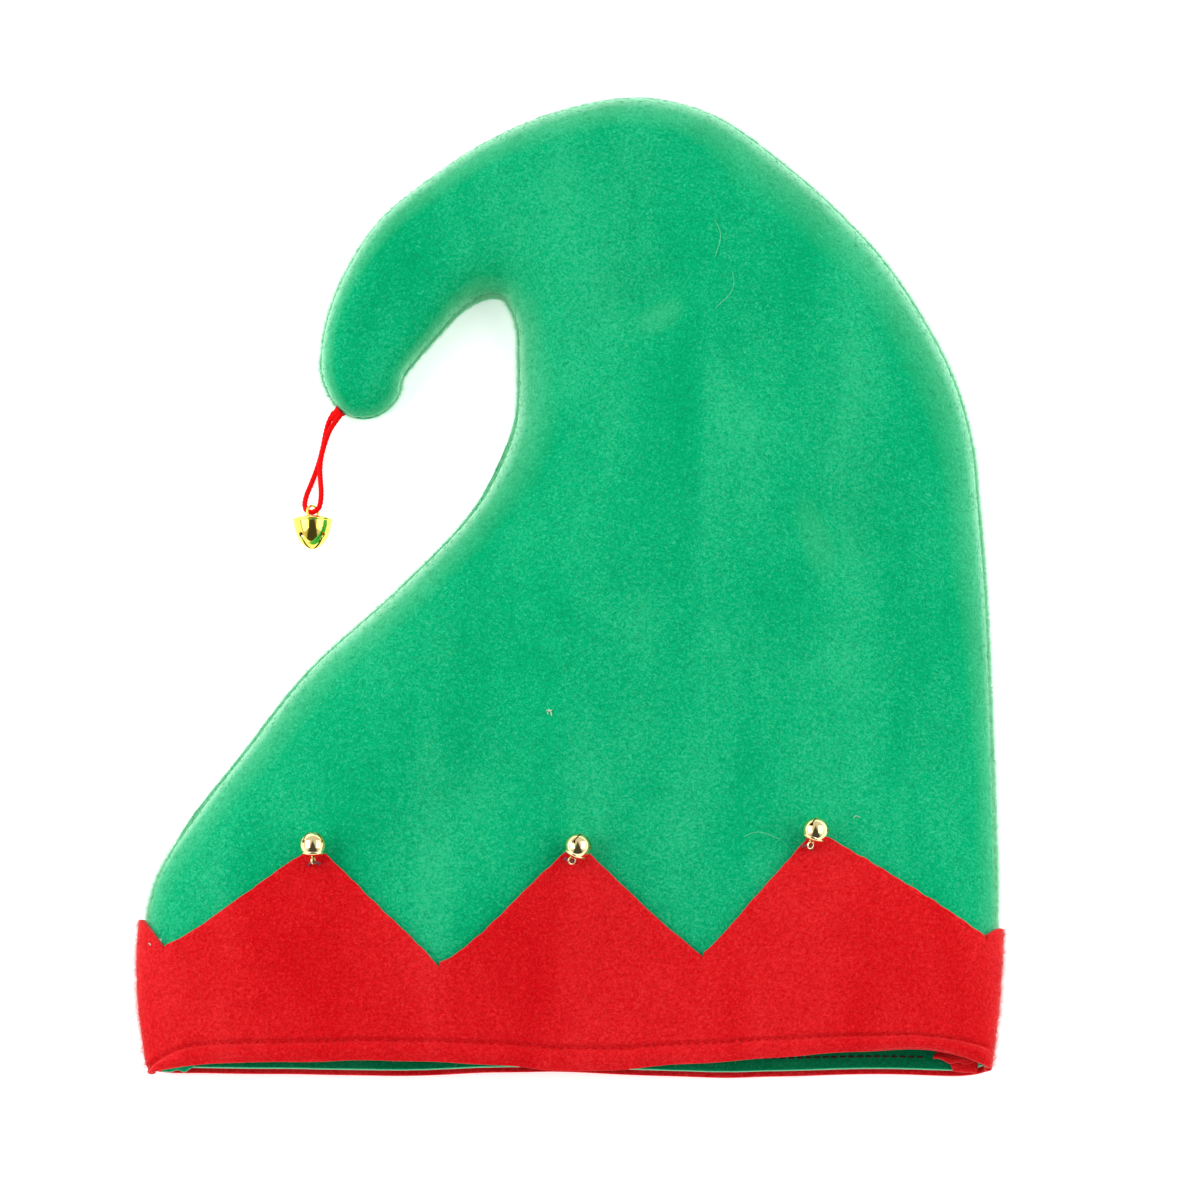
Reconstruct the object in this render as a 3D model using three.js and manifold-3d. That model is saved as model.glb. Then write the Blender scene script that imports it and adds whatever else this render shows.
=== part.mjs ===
// Elf hat of felt, lying on its back panel. Millimetres, +Z up, +Y towards the crown's top,
// origin on the surface that it lies on, below the middle of the hat.

import * as THREE from 'three';
import { mergeVertices } from 'three/addons/utils/BufferGeometryUtils.js';
import Module from 'manifold-3d';

const wasm = await Module();
wasm.setup();

// Driving dimensions of the felt
const HAT_WIDTH = 286;
const HAT_LENGTH = 338;
const LOFT = 40;
const SEAM_HEIGHT = 8;
const CROWN_FELT = 2.2;
const BAND_FELT = 2.2;
const LAYER_GAP = 0.3;
const EDGE_ROUND = 11;
const DOME_POWER = 2.6;
const BAND_HEIGHT = 73;
const BAND_EASE = 20;
const RIM_RECESS = 1.5;
const RIM_SETBACK = 2.5;
const SEAM_ALLOWANCE = 8;
const SEAM_ALLOWANCE_FELT = 2;
const SEAM_END_LENGTH = 24;
const SEAM_END_INSET = 1.7;

// Driving dimensions of the small bells: balls that are cut off at a narrow flange. The flange
// turn is how far below the ball's middle it lies, in degrees round the ball.
const BELL_DIAMETER = 8.8;
const BELL_FLANGE = 0.25;
const BELL_FLANGE_TURN = -37;
const BELL_METAL = 0.4;
const BELL_SLOT = 0.5;
const BELL_LOOP_DIAMETER = 2.8;
const BELL_LOOP_WIRE = 0.6;
const BELL_BELOW_PEAK = 3.3;
const BELL_LEAN = 4;
const BELL_FORM = { capShare: 0.30, cupShare: 1, fullness: 2, loopSinkShare: 0.30, loopWidthShare: 1 };

// Driving dimensions of the bell at the tip, a tapered cup that is widest at its flange, and of
// its oval ring and the cord
const TIP_BELL_DIAMETER = 13.6;
const TIP_BELL_FLANGE = 0.4;
const TIP_BELL_FLANGE_TURN = 0;
const TIP_BELL_METAL = 0.5;
const TIP_BELL_SLOT = 0.8;
const TIP_RING_HEIGHT = 5;
const TIP_RING_WIRE = 0.8;
const TIP_RING_TURN = -48;
const TIP_BELL_FORM = { capShare: 0.25, cupShare: 1.5, fullness: 1.6, loopSinkShare: 0.50, loopWidthShare: 1.2 };
const FLOOR_GAP = 0.05;
const CORD_DIAMETER = 1.8;

// Fineness of the faceted surfaces
const FRONT_COLUMNS = 20;
const BACK_EDGE_COLUMNS = 3;
const BACK_FLAT_COLUMNS = 4;
const ROWS_PER_SECTION = 2;
const NOSE_ROWS = 4;
const BELL_SIDES = 14;
const BELL_INNER_SIDES = 10;
const RING_SIDES = 10;
const WIRE_SIDES = 6;
const HOLE_SIDES = 8;
const CORD_SIDES = 8;
const CORD_STEPS = 56;

// Sections across the hat, from the mouth round the bend to the tip. Columns: inner edge x and y,
// outer edge x and y, as shares of the width and the length; crest, as a share of the loft.
const SECTION_SHARE = 0.08;
const SECTIONS = [
  [-0.473, -0.500, 0.475, -0.500, 0.60],
  [-0.486, -0.420, 0.486, -0.420, 0.72],
  [-0.483, -0.340, 0.492, -0.340, 0.82],
  [-0.452, -0.260, 0.492, -0.260, 0.90],
  [-0.385, -0.180, 0.490, -0.180, 0.95],
  [-0.313, -0.100, 0.488, -0.100, 0.98],
  [-0.213, -0.020, 0.485, -0.020, 1.00],
  [-0.126, 0.060, 0.479, 0.060, 1.00],
  [-0.082, 0.132, 0.470, 0.140, 0.98],
  [-0.065, 0.184, 0.442, 0.217, 0.95],
  [-0.060, 0.231, 0.385, 0.304, 0.92],
  [-0.064, 0.260, 0.326, 0.365, 0.89],
  [-0.074, 0.277, 0.255, 0.422, 0.86],
  [-0.088, 0.283, 0.172, 0.474, 0.82],
  [-0.102, 0.282, 0.083, 0.493, 0.78],
  [-0.118, 0.275, -0.011, 0.479, 0.75],
  [-0.135, 0.262, -0.095, 0.448, 0.72],
  [-0.149, 0.247, -0.166, 0.407, 0.68],
  [-0.164, 0.231, -0.225, 0.363, 0.65],
  [-0.178, 0.216, -0.264, 0.310, 0.61],
  [-0.190, 0.202, -0.285, 0.262, 0.57],
  [-0.197, 0.187, -0.292, 0.220, 0.53],
  [-0.206, 0.152, -0.294, 0.167, 0.50],
];
const NOSE_SECTION = 21;
const LAST_SECTION = SECTIONS.length - 1;

// Soft folds of the front panel. Columns: from x and y, to x and y, as shares of the width and
// the length; rise, as a share of the loft (a valley is below 0); spread, as a share of the width.
const FOLDS = [
  [0.082, 0.377, 0.093, 0.272, -0.09, 0.050],
  [0.093, 0.272, 0.036, 0.231, -0.07, 0.050],
  [-0.078, 0.016, -0.089, -0.085, -0.07, 0.060],
  [-0.055, -0.145, -0.111, -0.235, -0.08, 0.060],
  [-0.111, -0.235, -0.189, -0.294, -0.06, 0.060],
  [0.242, 0.210, 0.321, 0.036, -0.09, 0.060],
  [0.321, 0.036, 0.397, -0.205, -0.11, 0.060],
  [-0.229, 0.241, -0.200, 0.262, -0.06, 0.045],
  [0.036, -0.004, -0.010, -0.165, 0.06, 0.070],
  [0.230, 0.108, 0.251, -0.045, 0.06, 0.060],
  [0.058, -0.496, 0.058, -0.400, -0.20, 0.130],
  [0.394, -0.483, 0.394, -0.400, 0.10, 0.090],
];

// Corners of the band's zigzag edge. Columns: x as a share of the width, rise above the rim as a
// share of the band's height, and for the bell sewn there, if any, its turn on the felt, the turn
// of its loop, in degrees, and its step to the right, as a share of its diameter.
const NO_BELL = null;
const ZIGZAG = [
  [-0.600, 0.30, NO_BELL],
  [-0.494, 0.69, NO_BELL],
  [-0.464, 0.542, NO_BELL],
  [-0.287, 0.963, 0, 65, 0],
  [-0.149, 0.43, NO_BELL],
  [0.010, 0.982, -22, 0, -0.14],
  [0.150, 0.48, NO_BELL],
  [0.282, 1.030, -19, 25, -0.22],
  [0.476, 0.592, NO_BELL],
  [0.600, 0.90, NO_BELL],
];
const BELL_NAMES = ['bell_left', 'bell_middle', 'bell_right'];

// The cord's route: out of the tip's seam, down onto the surface, through the bell's ring and
// back over itself into the seam. RING_POINT is the point that lies in the ring.
const RING_POINT = [-85.9, 21.4, 7.2];
const CORD_ROUTE = [
  [-79.1, 56.2, 7.7],
  [-80.9, 53.2, 6.0],
  [-82.1, 49.7, 3.4],
  [-82.9, 46.1, 1.5],
  [-83.9, 41.8, 1.0],
  [-85.2, 37.4, 1.0],
  [-86.7, 33.1, 1.3],
  [-88.1, 28.9, 2.5],
  [-88.7, 25.3, 4.1],
  [-88.0, 22.5, 5.6],
  RING_POINT,
  [-83.8, 22.5, 8.8],
  [-83.1, 25.3, 9.3],
  [-83.1, 28.9, 8.0],
  [-83.5, 33.1, 5.7],
  [-83.8, 37.4, 3.8],
  [-83.5, 41.8, 3.1],
  [-82.4, 46.0, 3.8],
  [-80.7, 50.0, 6.0],
  [-78.5, 52.9, 8.2],
  [-76.4, 55.5, 8.9],
];

const FELT_GREEN = new THREE.MeshStandardMaterial({ color: 0x15b478, roughness: 0.95, metalness: 0 });
const FELT_RED = new THREE.MeshStandardMaterial({ color: 0xdf2225, roughness: 0.95, metalness: 0 });
const CORD_RED = new THREE.MeshStandardMaterial({ color: 0xd81a20, roughness: 0.75, metalness: 0 });
const BELL_GOLD = new THREE.MeshStandardMaterial({ color: 0xe3bf63, roughness: 0.18, metalness: 1 });

const { clamp, degToRad, lerp, smoothstep } = THREE.MathUtils;
const QUARTER_TURN = Math.PI / 2;
const HALF_LAYER_GAP = LAYER_GAP / 2;
const BAND_STANDOFF = LAYER_GAP + BAND_FELT;
const ROW_LENGTH = SECTION_SHARE * HAT_LENGTH;
const MOUTH_Y = -HAT_LENGTH / 2;
const BAND_TOP_ROW = Math.ceil((BAND_HEIGHT * ROWS_PER_SECTION) / ROW_LENGTH) / ROWS_PER_SECTION;

// Smooth curve through one column of the sections, with the end rows carried straight on
function sectionValue(column, run) {
  const row = clamp(Math.floor(run), 0, LAST_SECTION - 1);
  const part = run - row;
  const value = (k) => {
    if (k < 0) return 2 * SECTIONS[0][column] - SECTIONS[1][column];
    if (k > LAST_SECTION) return 2 * SECTIONS[LAST_SECTION][column] - SECTIONS[LAST_SECTION - 1][column];
    return SECTIONS[k][column];
  };
  const [a, b, c, d] = [value(row - 1), value(row), value(row + 1), value(row + 2)];
  const slope = (c - a) / 2;
  const bend = a - 2.5 * b + 2 * c - d / 2;
  const twist = (d - a) / 2 + 1.5 * (b - c);
  return b + part * (slope + part * (bend + part * twist));
}

// One section: its middle, its half width, and its height above and below the seam
function sectionAt(run) {
  const inner = new THREE.Vector2(sectionValue(0, run) * HAT_WIDTH, sectionValue(1, run) * HAT_LENGTH);
  const outer = new THREE.Vector2(sectionValue(2, run) * HAT_WIDTH, sectionValue(3, run) * HAT_LENGTH);
  const noseShare = Math.max(0, (run - NOSE_SECTION) / (LAST_SECTION - NOSE_SECTION));
  const nose = Math.sqrt(Math.max(0, 1 - noseShare ** 2));
  const lift = BAND_STANDOFF * (1 - smoothstep(run, BAND_TOP_ROW, BAND_TOP_ROW + BAND_EASE / ROW_LENGTH));
  return {
    middle: inner.clone().add(outer).divideScalar(2),
    half: outer.clone().sub(inner).multiplyScalar(nose / 2),
    rise: (sectionValue(4, run) * LOFT - SEAM_HEIGHT - HALF_LAYER_GAP) * nose,
    drop: (SEAM_HEIGHT - HALF_LAYER_GAP - lift) * nose,
  };
}

// Height that the folds add at one place of the front panel
function foldHeight(x, y) {
  const place = new THREE.Vector3(x, y, 0);
  const nearest = new THREE.Vector3();
  let height = 0;
  for (const [fromX, fromY, toX, toY, rise, spread] of FOLDS) {
    const start = new THREE.Vector3(fromX * HAT_WIDTH, fromY * HAT_LENGTH, 0);
    const end = new THREE.Vector3(toX * HAT_WIDTH, toY * HAT_LENGTH, 0);
    new THREE.Line3(start, end).closestPointToPoint(place, true, nearest);
    height += rise * LOFT * Math.exp(-((place.distanceTo(nearest) / (spread * HAT_WIDTH)) ** 2));
  }
  return height;
}

// Outer surface of the front panel. across runs from -1 at the inner seam to 1 at the outer one.
function frontPoint(across, run) {
  const section = sectionAt(run);
  const share = Math.sin(across * QUARTER_TURN);
  const dome = Math.sqrt(Math.max(0, 1 - Math.abs(share) ** DOME_POWER));
  const x = section.middle.x + share * section.half.x;
  const setback = RIM_SETBACK * dome * Math.max(0, 1 - run / 2) ** 2;
  const y = section.middle.y + share * section.half.y + setback;
  const z = SEAM_HEIGHT + HALF_LAYER_GAP + (section.rise + foldHeight(x, y)) * dome;
  return new THREE.Vector3(x, y, z);
}

// Outer surface of the back panel: flat where it rests, with rounded edges up to the seams
const BACK_FLAT_SHARE = BACK_FLAT_COLUMNS / (BACK_FLAT_COLUMNS + 2 * BACK_EDGE_COLUMNS);
const LARGEST_ROUND_SHARE = 0.9;
function backPoint(across, run) {
  const section = sectionAt(run);
  const roundShare = Math.min(LARGEST_ROUND_SHARE, EDGE_ROUND / Math.max(section.half.length(), EDGE_ROUND));
  const flat = 1 - roundShare;
  const intoEdge = Math.max(0, (Math.abs(across) - BACK_FLAT_SHARE) / (1 - BACK_FLAT_SHARE));
  const turn = intoEdge * QUARTER_TURN;
  const flatSide = (Math.abs(across) / BACK_FLAT_SHARE) * flat;
  const side = intoEdge > 0 ? flat + roundShare * Math.sin(turn) : flatSide;
  const share = Math.sign(across) * side;
  const x = section.middle.x + share * section.half.x;
  const y = section.middle.y + share * section.half.y;
  const z = SEAM_HEIGHT - HALF_LAYER_GAP - section.drop * Math.cos(turn);
  return new THREE.Vector3(x, y, z);
}

const FRONT = {
  pointAt: frontPoint,
  outward: 1,
  columns: Array.from({ length: FRONT_COLUMNS + 1 }, (_, i) => (2 * i) / FRONT_COLUMNS - 1),
};
const BACK_COLUMNS = BACK_FLAT_COLUMNS + 2 * BACK_EDGE_COLUMNS;
const BACK = {
  pointAt: backPoint,
  outward: -1,
  columns: Array.from({ length: BACK_COLUMNS + 1 }, (_, i) => (2 * i) / BACK_COLUMNS - 1),
};

// Outward normal of a panel, from points close by on the surface
const NEAR = 0.002;
function normalAt(panel, across, run) {
  if (run > LAST_SECTION - NEAR) {
    const ahead = sectionAt(LAST_SECTION).middle;
    const behind = sectionAt(LAST_SECTION - NEAR).middle;
    return new THREE.Vector3(ahead.x - behind.x, ahead.y - behind.y, 0).normalize();
  }
  const left = panel.pointAt(Math.max(-1, across - NEAR), run);
  const right = panel.pointAt(Math.min(1, across + NEAR), run);
  const low = panel.pointAt(across, Math.max(0, run - NEAR));
  const high = panel.pointAt(across, run + NEAR);
  return right.sub(left).cross(high.sub(low)).normalize().multiplyScalar(panel.outward);
}

// Rows of a panel from one run to another, with the rim's recess as a row of its own
const RECESS_RUN = RIM_RECESS / ROW_LENGTH;
function rowsBetween(from, to) {
  const rows = [from];
  for (let i = 1; i < NOSE_SECTION * ROWS_PER_SECTION; i += 1) {
    const run = i / ROWS_PER_SECTION;
    if (run > RECESS_RUN && run > from && run < to) rows.push(run);
  }
  return rows;
}

function crownRows() {
  const rows = rowsBetween(RECESS_RUN, NOSE_SECTION);
  for (let i = 0; i <= NOSE_ROWS; i += 1) {
    const turn = (i / NOSE_ROWS) * QUARTER_TURN;
    rows.push(lerp(NOSE_SECTION, LAST_SECTION, Math.sin(turn)));
  }
  return rows;
}

function bandRows() {
  return [0, ...rowsBetween(RECESS_RUN, BAND_TOP_ROW), BAND_TOP_ROW];
}

// Closed geometry from points and quads, with shared corners merged and empty faces dropped
function closedGeometry(points, quads) {
  const raw = new THREE.BufferGeometry().setFromPoints(points);
  raw.setIndex(quads.flatMap(([a, b, c, d]) => [a, b, c, a, c, d]));
  const merged = mergeVertices(raw);
  const index = merged.index.array;
  const kept = [];
  for (let i = 0; i < index.length; i += 3) {
    const [a, b, c] = [index[i], index[i + 1], index[i + 2]];
    if (a !== b && b !== c && c !== a) kept.push(a, b, c);
  }
  merged.setIndex(kept);
  return merged;
}

// A layer of felt on a panel, between two distances out of the crown's outer surface
function feltLayer(panel, rows, outerDistance, innerDistance) {
  const width = panel.columns.length;
  const points = [];
  for (const run of rows) {
    for (const distance of [outerDistance, innerDistance]) {
      for (const across of panel.columns) {
        const normal = normalAt(panel, across, run);
        points.push(panel.pointAt(across, run).addScaledVector(normal, distance));
      }
    }
  }
  const outer = (row, column) => row * 2 * width + column;
  const inner = (row, column) => (row * 2 + 1) * width + column;
  const end = width - 1;
  const last = rows.length - 1;
  const quads = [];
  for (let row = 0; row < last; row += 1) {
    const next = row + 1;
    for (let column = 0; column < end; column += 1) {
      const right = column + 1;
      quads.push([outer(row, column), outer(row, right), outer(next, right), outer(next, column)]);
      quads.push([inner(row, column), inner(next, column), inner(next, right), inner(row, right)]);
    }
    quads.push([outer(row, 0), outer(next, 0), inner(next, 0), inner(row, 0)]);
    quads.push([outer(row, end), inner(row, end), inner(next, end), outer(next, end)]);
  }
  for (let column = 0; column < end; column += 1) {
    const right = column + 1;
    quads.push([outer(0, column), inner(0, column), inner(0, right), outer(0, right)]);
    quads.push([outer(last, column), outer(last, right), inner(last, right), inner(last, column)]);
  }
  return closedGeometry(points, panel.outward > 0 ? quads : quads.map((quad) => quad.reverse()));
}

function toSolid(geometry) {
  const plain = geometry.clone();
  plain.deleteAttribute('normal');
  plain.deleteAttribute('uv');
  const merged = mergeVertices(plain);
  const mesh = new wasm.Mesh({
    numProp: 3,
    vertProperties: new Float32Array(merged.attributes.position.array),
    triVerts: new Uint32Array(merged.index.array),
  });
  return new wasm.Manifold(mesh);
}

function toGeometry(solid) {
  const mesh = solid.getMesh();
  const geometry = new THREE.BufferGeometry();
  geometry.setAttribute('position', new THREE.BufferAttribute(mesh.vertProperties, mesh.numProp));
  geometry.setIndex(new THREE.BufferAttribute(mesh.triVerts, 1));
  return geometry;
}

// The band: a layer on the panel, cut to the zigzag edge
function bandGeometry(panel) {
  const outline = new THREE.Shape();
  const reach = HAT_WIDTH * ZIGZAG[ZIGZAG.length - 1][0];
  outline.moveTo(reach, MOUTH_Y - BAND_HEIGHT);
  outline.lineTo(-reach, MOUTH_Y - BAND_HEIGHT);
  for (const [x, rise] of ZIGZAG) outline.lineTo(x * HAT_WIDTH, MOUTH_Y + rise * BAND_HEIGHT);
  const cutter = new THREE.ExtrudeGeometry(outline, { depth: 3 * LOFT, bevelEnabled: false });
  cutter.translate(0, 0, -LOFT);
  const layer = toSolid(feltLayer(panel, bandRows(), BAND_STANDOFF, LAYER_GAP));
  return toGeometry(layer.intersect(toSolid(cutter)));
}

// End of the seam allowance inside a corner of the mouth: side is -1 at the left, 1 at the right
function seamEndGeometry(side) {
  const from = sectionAt(RECESS_RUN);
  const to = sectionAt((RIM_RECESS + SEAM_END_LENGTH) / ROW_LENGTH);
  const edgeOf = (section) => section.middle.x + side * section.half.x;
  const away = -side * (CROWN_FELT + SEAM_END_INSET);
  const wide = -side * SEAM_ALLOWANCE;
  const strip = new THREE.Shape([
    new THREE.Vector2(edgeOf(from) + away, from.middle.y),
    new THREE.Vector2(edgeOf(from) + away + wide, from.middle.y),
    new THREE.Vector2(edgeOf(to) + away + wide, to.middle.y),
    new THREE.Vector2(edgeOf(to) + away, to.middle.y),
  ]);
  const geometry = new THREE.ExtrudeGeometry(strip, { depth: SEAM_ALLOWANCE_FELT, bevelEnabled: false });
  return geometry.translate(0, 0, SEAM_HEIGHT - SEAM_ALLOWANCE_FELT / 2);
}

// How far a bell's cup reaches out at one turn round it, as a share of its radius
function cupReach(form, turn) {
  return Math.sqrt(1 - Math.abs(Math.sin(turn)) ** form.fullness);
}

// How high a bell's cup stands above its flange
function cupHeight(form, radius, flangeTurn) {
  return radius * form.cupShare * (1 - Math.sin(flangeTurn));
}

// How far the middle of a bell's loop lies from the flange's
function loopReachOf(form, radius, loopHeight) {
  return radius * form.capShare + (loopHeight / 2) * (1 - form.loopSinkShare);
}

// Half of a bell's outline, from its looped end to its slotted end: a shallow cap and a deep cup
// that meet at the flange, which stands out if wanted
function bellBody(form, radius, flangeWidth, flangeTurn, sides) {
  const capSteps = Math.round(sides / 4);
  const cupSteps = Math.round(sides / 2);
  const neck = radius * cupReach(form, flangeTurn);
  const profile = [new THREE.Vector2(0, -radius * form.capShare)];
  for (let i = 1; i < capSteps; i += 1) {
    const turn = (i / capSteps) * QUARTER_TURN;
    profile.push(new THREE.Vector2(neck * Math.sin(turn), -radius * form.capShare * Math.cos(turn)));
  }
  profile.push(new THREE.Vector2(neck + flangeWidth, 0));
  for (let i = 1; i < cupSteps; i += 1) {
    const turn = lerp(flangeTurn, QUARTER_TURN, i / cupSteps);
    const level = radius * form.cupShare * (Math.sin(turn) - Math.sin(flangeTurn));
    profile.push(new THREE.Vector2(radius * cupReach(form, turn), level));
  }
  profile.push(new THREE.Vector2(0, cupHeight(form, radius, flangeTurn)));
  return new THREE.LatheGeometry(profile, sides).rotateX(QUARTER_TURN);
}

// A hollow jingle bell, with the middle of its flange at the origin. The cup points up +Z and has
// two crossed slots that end in round holes in its side. The loop stands out of the cap, down -Z.
const HOLE_SHARE = 0.55;
const HOLE_TO_SLOT = 2.4;
const SLOT_TURNS = [QUARTER_TURN / 2, -QUARTER_TURN / 2];
function jingleBell({ form, radius, flange, flangeTurn, metal, slot, loopHeight, wire, loopTurn }) {
  const loop = new THREE.TorusGeometry(loopHeight / 2 - wire / 2, wire / 2, WIRE_SIDES, RING_SIDES);
  loop.scale(form.loopWidthShare, 1, 1).rotateX(QUARTER_TURN).rotateZ(loopTurn);
  loop.translate(0, 0, -loopReachOf(form, radius, loopHeight));
  let solid = toSolid(bellBody(form, radius, flange, flangeTurn, BELL_SIDES)).add(toSolid(loop));
  solid = solid.subtract(toSolid(bellBody(form, radius - metal, 0, flangeTurn, BELL_INNER_SIDES)));
  const top = cupHeight(form, radius, flangeTurn);
  const holeLevel = HOLE_SHARE * top;
  const holeRadius = (slot * HOLE_TO_SLOT) / 2;
  for (const turn of SLOT_TURNS) {
    const cut = new THREE.BoxGeometry(3 * radius, slot, top - holeLevel);
    solid = solid.subtract(toSolid(cut.translate(0, 0, (top + holeLevel) / 2).rotateZ(turn)));
    const hole = new THREE.CylinderGeometry(holeRadius, holeRadius, 3 * radius, HOLE_SIDES);
    hole.rotateZ(QUARTER_TURN).translate(0, 0, holeLevel).rotateZ(turn);
    solid = solid.subtract(toSolid(hole));
  }
  return toGeometry(solid);
}

// Turns that point a bell's slotted end along one direction
function pointAlong(mesh, direction) {
  mesh.quaternion.setFromUnitVectors(new THREE.Vector3(0, 0, 1), direction.clone().normalize());
}

// Small bells: each lies on the band at a peak of the zigzag, on its side, slots up the hat
function smallBell(name, peakX, peakRise, turn, loopTurn, stepShare) {
  const x = peakX * HAT_WIDTH + stepShare * BELL_DIAMETER;
  const run = (peakRise * BAND_HEIGHT - BELL_BELOW_PEAK) / ROW_LENGTH;
  const section = sectionAt(run);
  const share = (x - section.middle.x) / section.half.x;
  const across = Math.asin(share) / QUARTER_TURN;
  const normal = normalAt(FRONT, across, run);
  const upHat = new THREE.Vector3(0, 1, 0).addScaledVector(normal, -normal.y).normalize();
  upHat.applyAxisAngle(normal, degToRad(turn));
  const lean = degToRad(BELL_LEAN);
  const direction = upHat.multiplyScalar(Math.cos(lean)).addScaledVector(normal, Math.sin(lean));
  const geometry = jingleBell({
    form: BELL_FORM,
    radius: BELL_DIAMETER / 2,
    flange: BELL_FLANGE,
    flangeTurn: degToRad(BELL_FLANGE_TURN),
    metal: BELL_METAL,
    slot: BELL_SLOT,
    loopHeight: BELL_LOOP_DIAMETER,
    wire: BELL_LOOP_WIRE,
    loopTurn: degToRad(loopTurn),
  });
  const bell = new THREE.Mesh(geometry, BELL_GOLD);
  bell.name = name;
  pointAlong(bell, direction);
  const height = BAND_STANDOFF + LAYER_GAP + (BELL_DIAMETER / 2) * Math.cos(lean);
  bell.position.copy(frontPoint(across, run)).addScaledVector(normal, height);
  return bell;
}

// Bell at the tip: it lies on the surface on its flange, with its ring round the cord
function tipBell() {
  const ringPoint = new THREE.Vector3(...RING_POINT);
  const height = TIP_BELL_DIAMETER / 2 + FLOOR_GAP;
  const radius = TIP_BELL_DIAMETER / 2 - TIP_BELL_FLANGE;
  const reach = loopReachOf(TIP_BELL_FORM, radius, TIP_RING_HEIGHT);
  const lean = Math.asin(clamp((height - ringPoint.z) / reach, -1, 1));
  const geometry = jingleBell({
    form: TIP_BELL_FORM,
    radius,
    flange: TIP_BELL_FLANGE,
    flangeTurn: degToRad(TIP_BELL_FLANGE_TURN),
    metal: TIP_BELL_METAL,
    slot: TIP_BELL_SLOT,
    loopHeight: TIP_RING_HEIGHT,
    wire: TIP_RING_WIRE,
    loopTurn: degToRad(TIP_RING_TURN),
  });
  const direction = new THREE.Vector3(0, -Math.cos(lean), Math.sin(lean));
  const bell = new THREE.Mesh(geometry, BELL_GOLD);
  bell.name = 'tip_bell';
  pointAlong(bell, direction);
  bell.position.copy(ringPoint).addScaledVector(direction, reach);
  return bell;
}

function cordLoop() {
  const route = new THREE.CatmullRomCurve3(CORD_ROUTE.map((point) => new THREE.Vector3(...point)));
  const section = new THREE.Shape();
  for (let i = 0; i < CORD_SIDES; i += 1) {
    const turn = (i / CORD_SIDES) * 2 * Math.PI;
    const [x, y] = [Math.cos(turn) * CORD_DIAMETER / 2, Math.sin(turn) * CORD_DIAMETER / 2];
    if (i === 0) section.moveTo(x, y);
    else section.lineTo(x, y);
  }
  return new THREE.ExtrudeGeometry(section, { steps: CORD_STEPS, extrudePath: route });
}

function piece(name, geometry, material) {
  const mesh = new THREE.Mesh(geometry, material);
  mesh.name = name;
  return mesh;
}

const crown = new THREE.Group();
crown.add(piece('crown_front', feltLayer(FRONT, crownRows(), 0, -CROWN_FELT), FELT_GREEN));
crown.add(piece('crown_back', feltLayer(BACK, crownRows(), 0, -CROWN_FELT), FELT_GREEN));

const band = new THREE.Group();
band.add(piece('band_front', bandGeometry(FRONT), FELT_RED));
band.add(piece('band_back', bandGeometry(BACK), FELT_RED));
band.add(piece('seam_end_left', seamEndGeometry(-1), FELT_RED));
band.add(piece('seam_end_right', seamEndGeometry(1), FELT_RED));

const bells = new THREE.Group();
const peaks = ZIGZAG.filter(([, , turn]) => turn !== NO_BELL);
peaks.forEach(([x, rise, turn, loopTurn, stepShare], i) => {
  bells.add(smallBell(BELL_NAMES[i], x, rise, turn, loopTurn, stepShare));
});

const tip = new THREE.Group();
tip.add(tipBell());
tip.add(piece('cord_loop', cordLoop(), CORD_RED));

const elfHat = new THREE.Group();
elfHat.add(crown, band, bells, tip);

export default elfHat;
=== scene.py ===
# Elf hat of felt, lying on its back panel. Metres, +Z up, +Y towards the crown's top.
import math

import bmesh
import bpy
import numpy as np
from mathutils import Matrix, Quaternion, Vector


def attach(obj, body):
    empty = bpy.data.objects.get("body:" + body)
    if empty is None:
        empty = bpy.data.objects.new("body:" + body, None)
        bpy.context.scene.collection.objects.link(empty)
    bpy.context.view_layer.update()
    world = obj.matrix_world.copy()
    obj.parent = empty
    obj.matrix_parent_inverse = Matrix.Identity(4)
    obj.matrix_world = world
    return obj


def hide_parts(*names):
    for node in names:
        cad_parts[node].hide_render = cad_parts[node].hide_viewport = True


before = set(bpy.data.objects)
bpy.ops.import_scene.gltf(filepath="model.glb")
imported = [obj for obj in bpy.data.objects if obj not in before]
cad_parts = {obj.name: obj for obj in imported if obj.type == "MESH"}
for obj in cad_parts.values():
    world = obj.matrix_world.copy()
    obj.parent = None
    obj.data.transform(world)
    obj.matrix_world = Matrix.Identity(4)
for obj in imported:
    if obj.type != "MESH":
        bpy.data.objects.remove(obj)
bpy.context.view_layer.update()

# Driving dimensions of the felt, as in the part
HAT_WIDTH = 0.286
HAT_LENGTH = 0.338
LOFT = 0.040
SEAM_HEIGHT = 0.008
CROWN_FELT = 0.0022
BAND_FELT = 0.0022
LAYER_GAP = 0.0003
EDGE_ROUND = 0.011
DOME_POWER = 2.6
BAND_HEIGHT = 0.073
BAND_EASE = 0.020
RIM_RECESS = 0.0015
RIM_SETBACK = 0.0025

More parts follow.
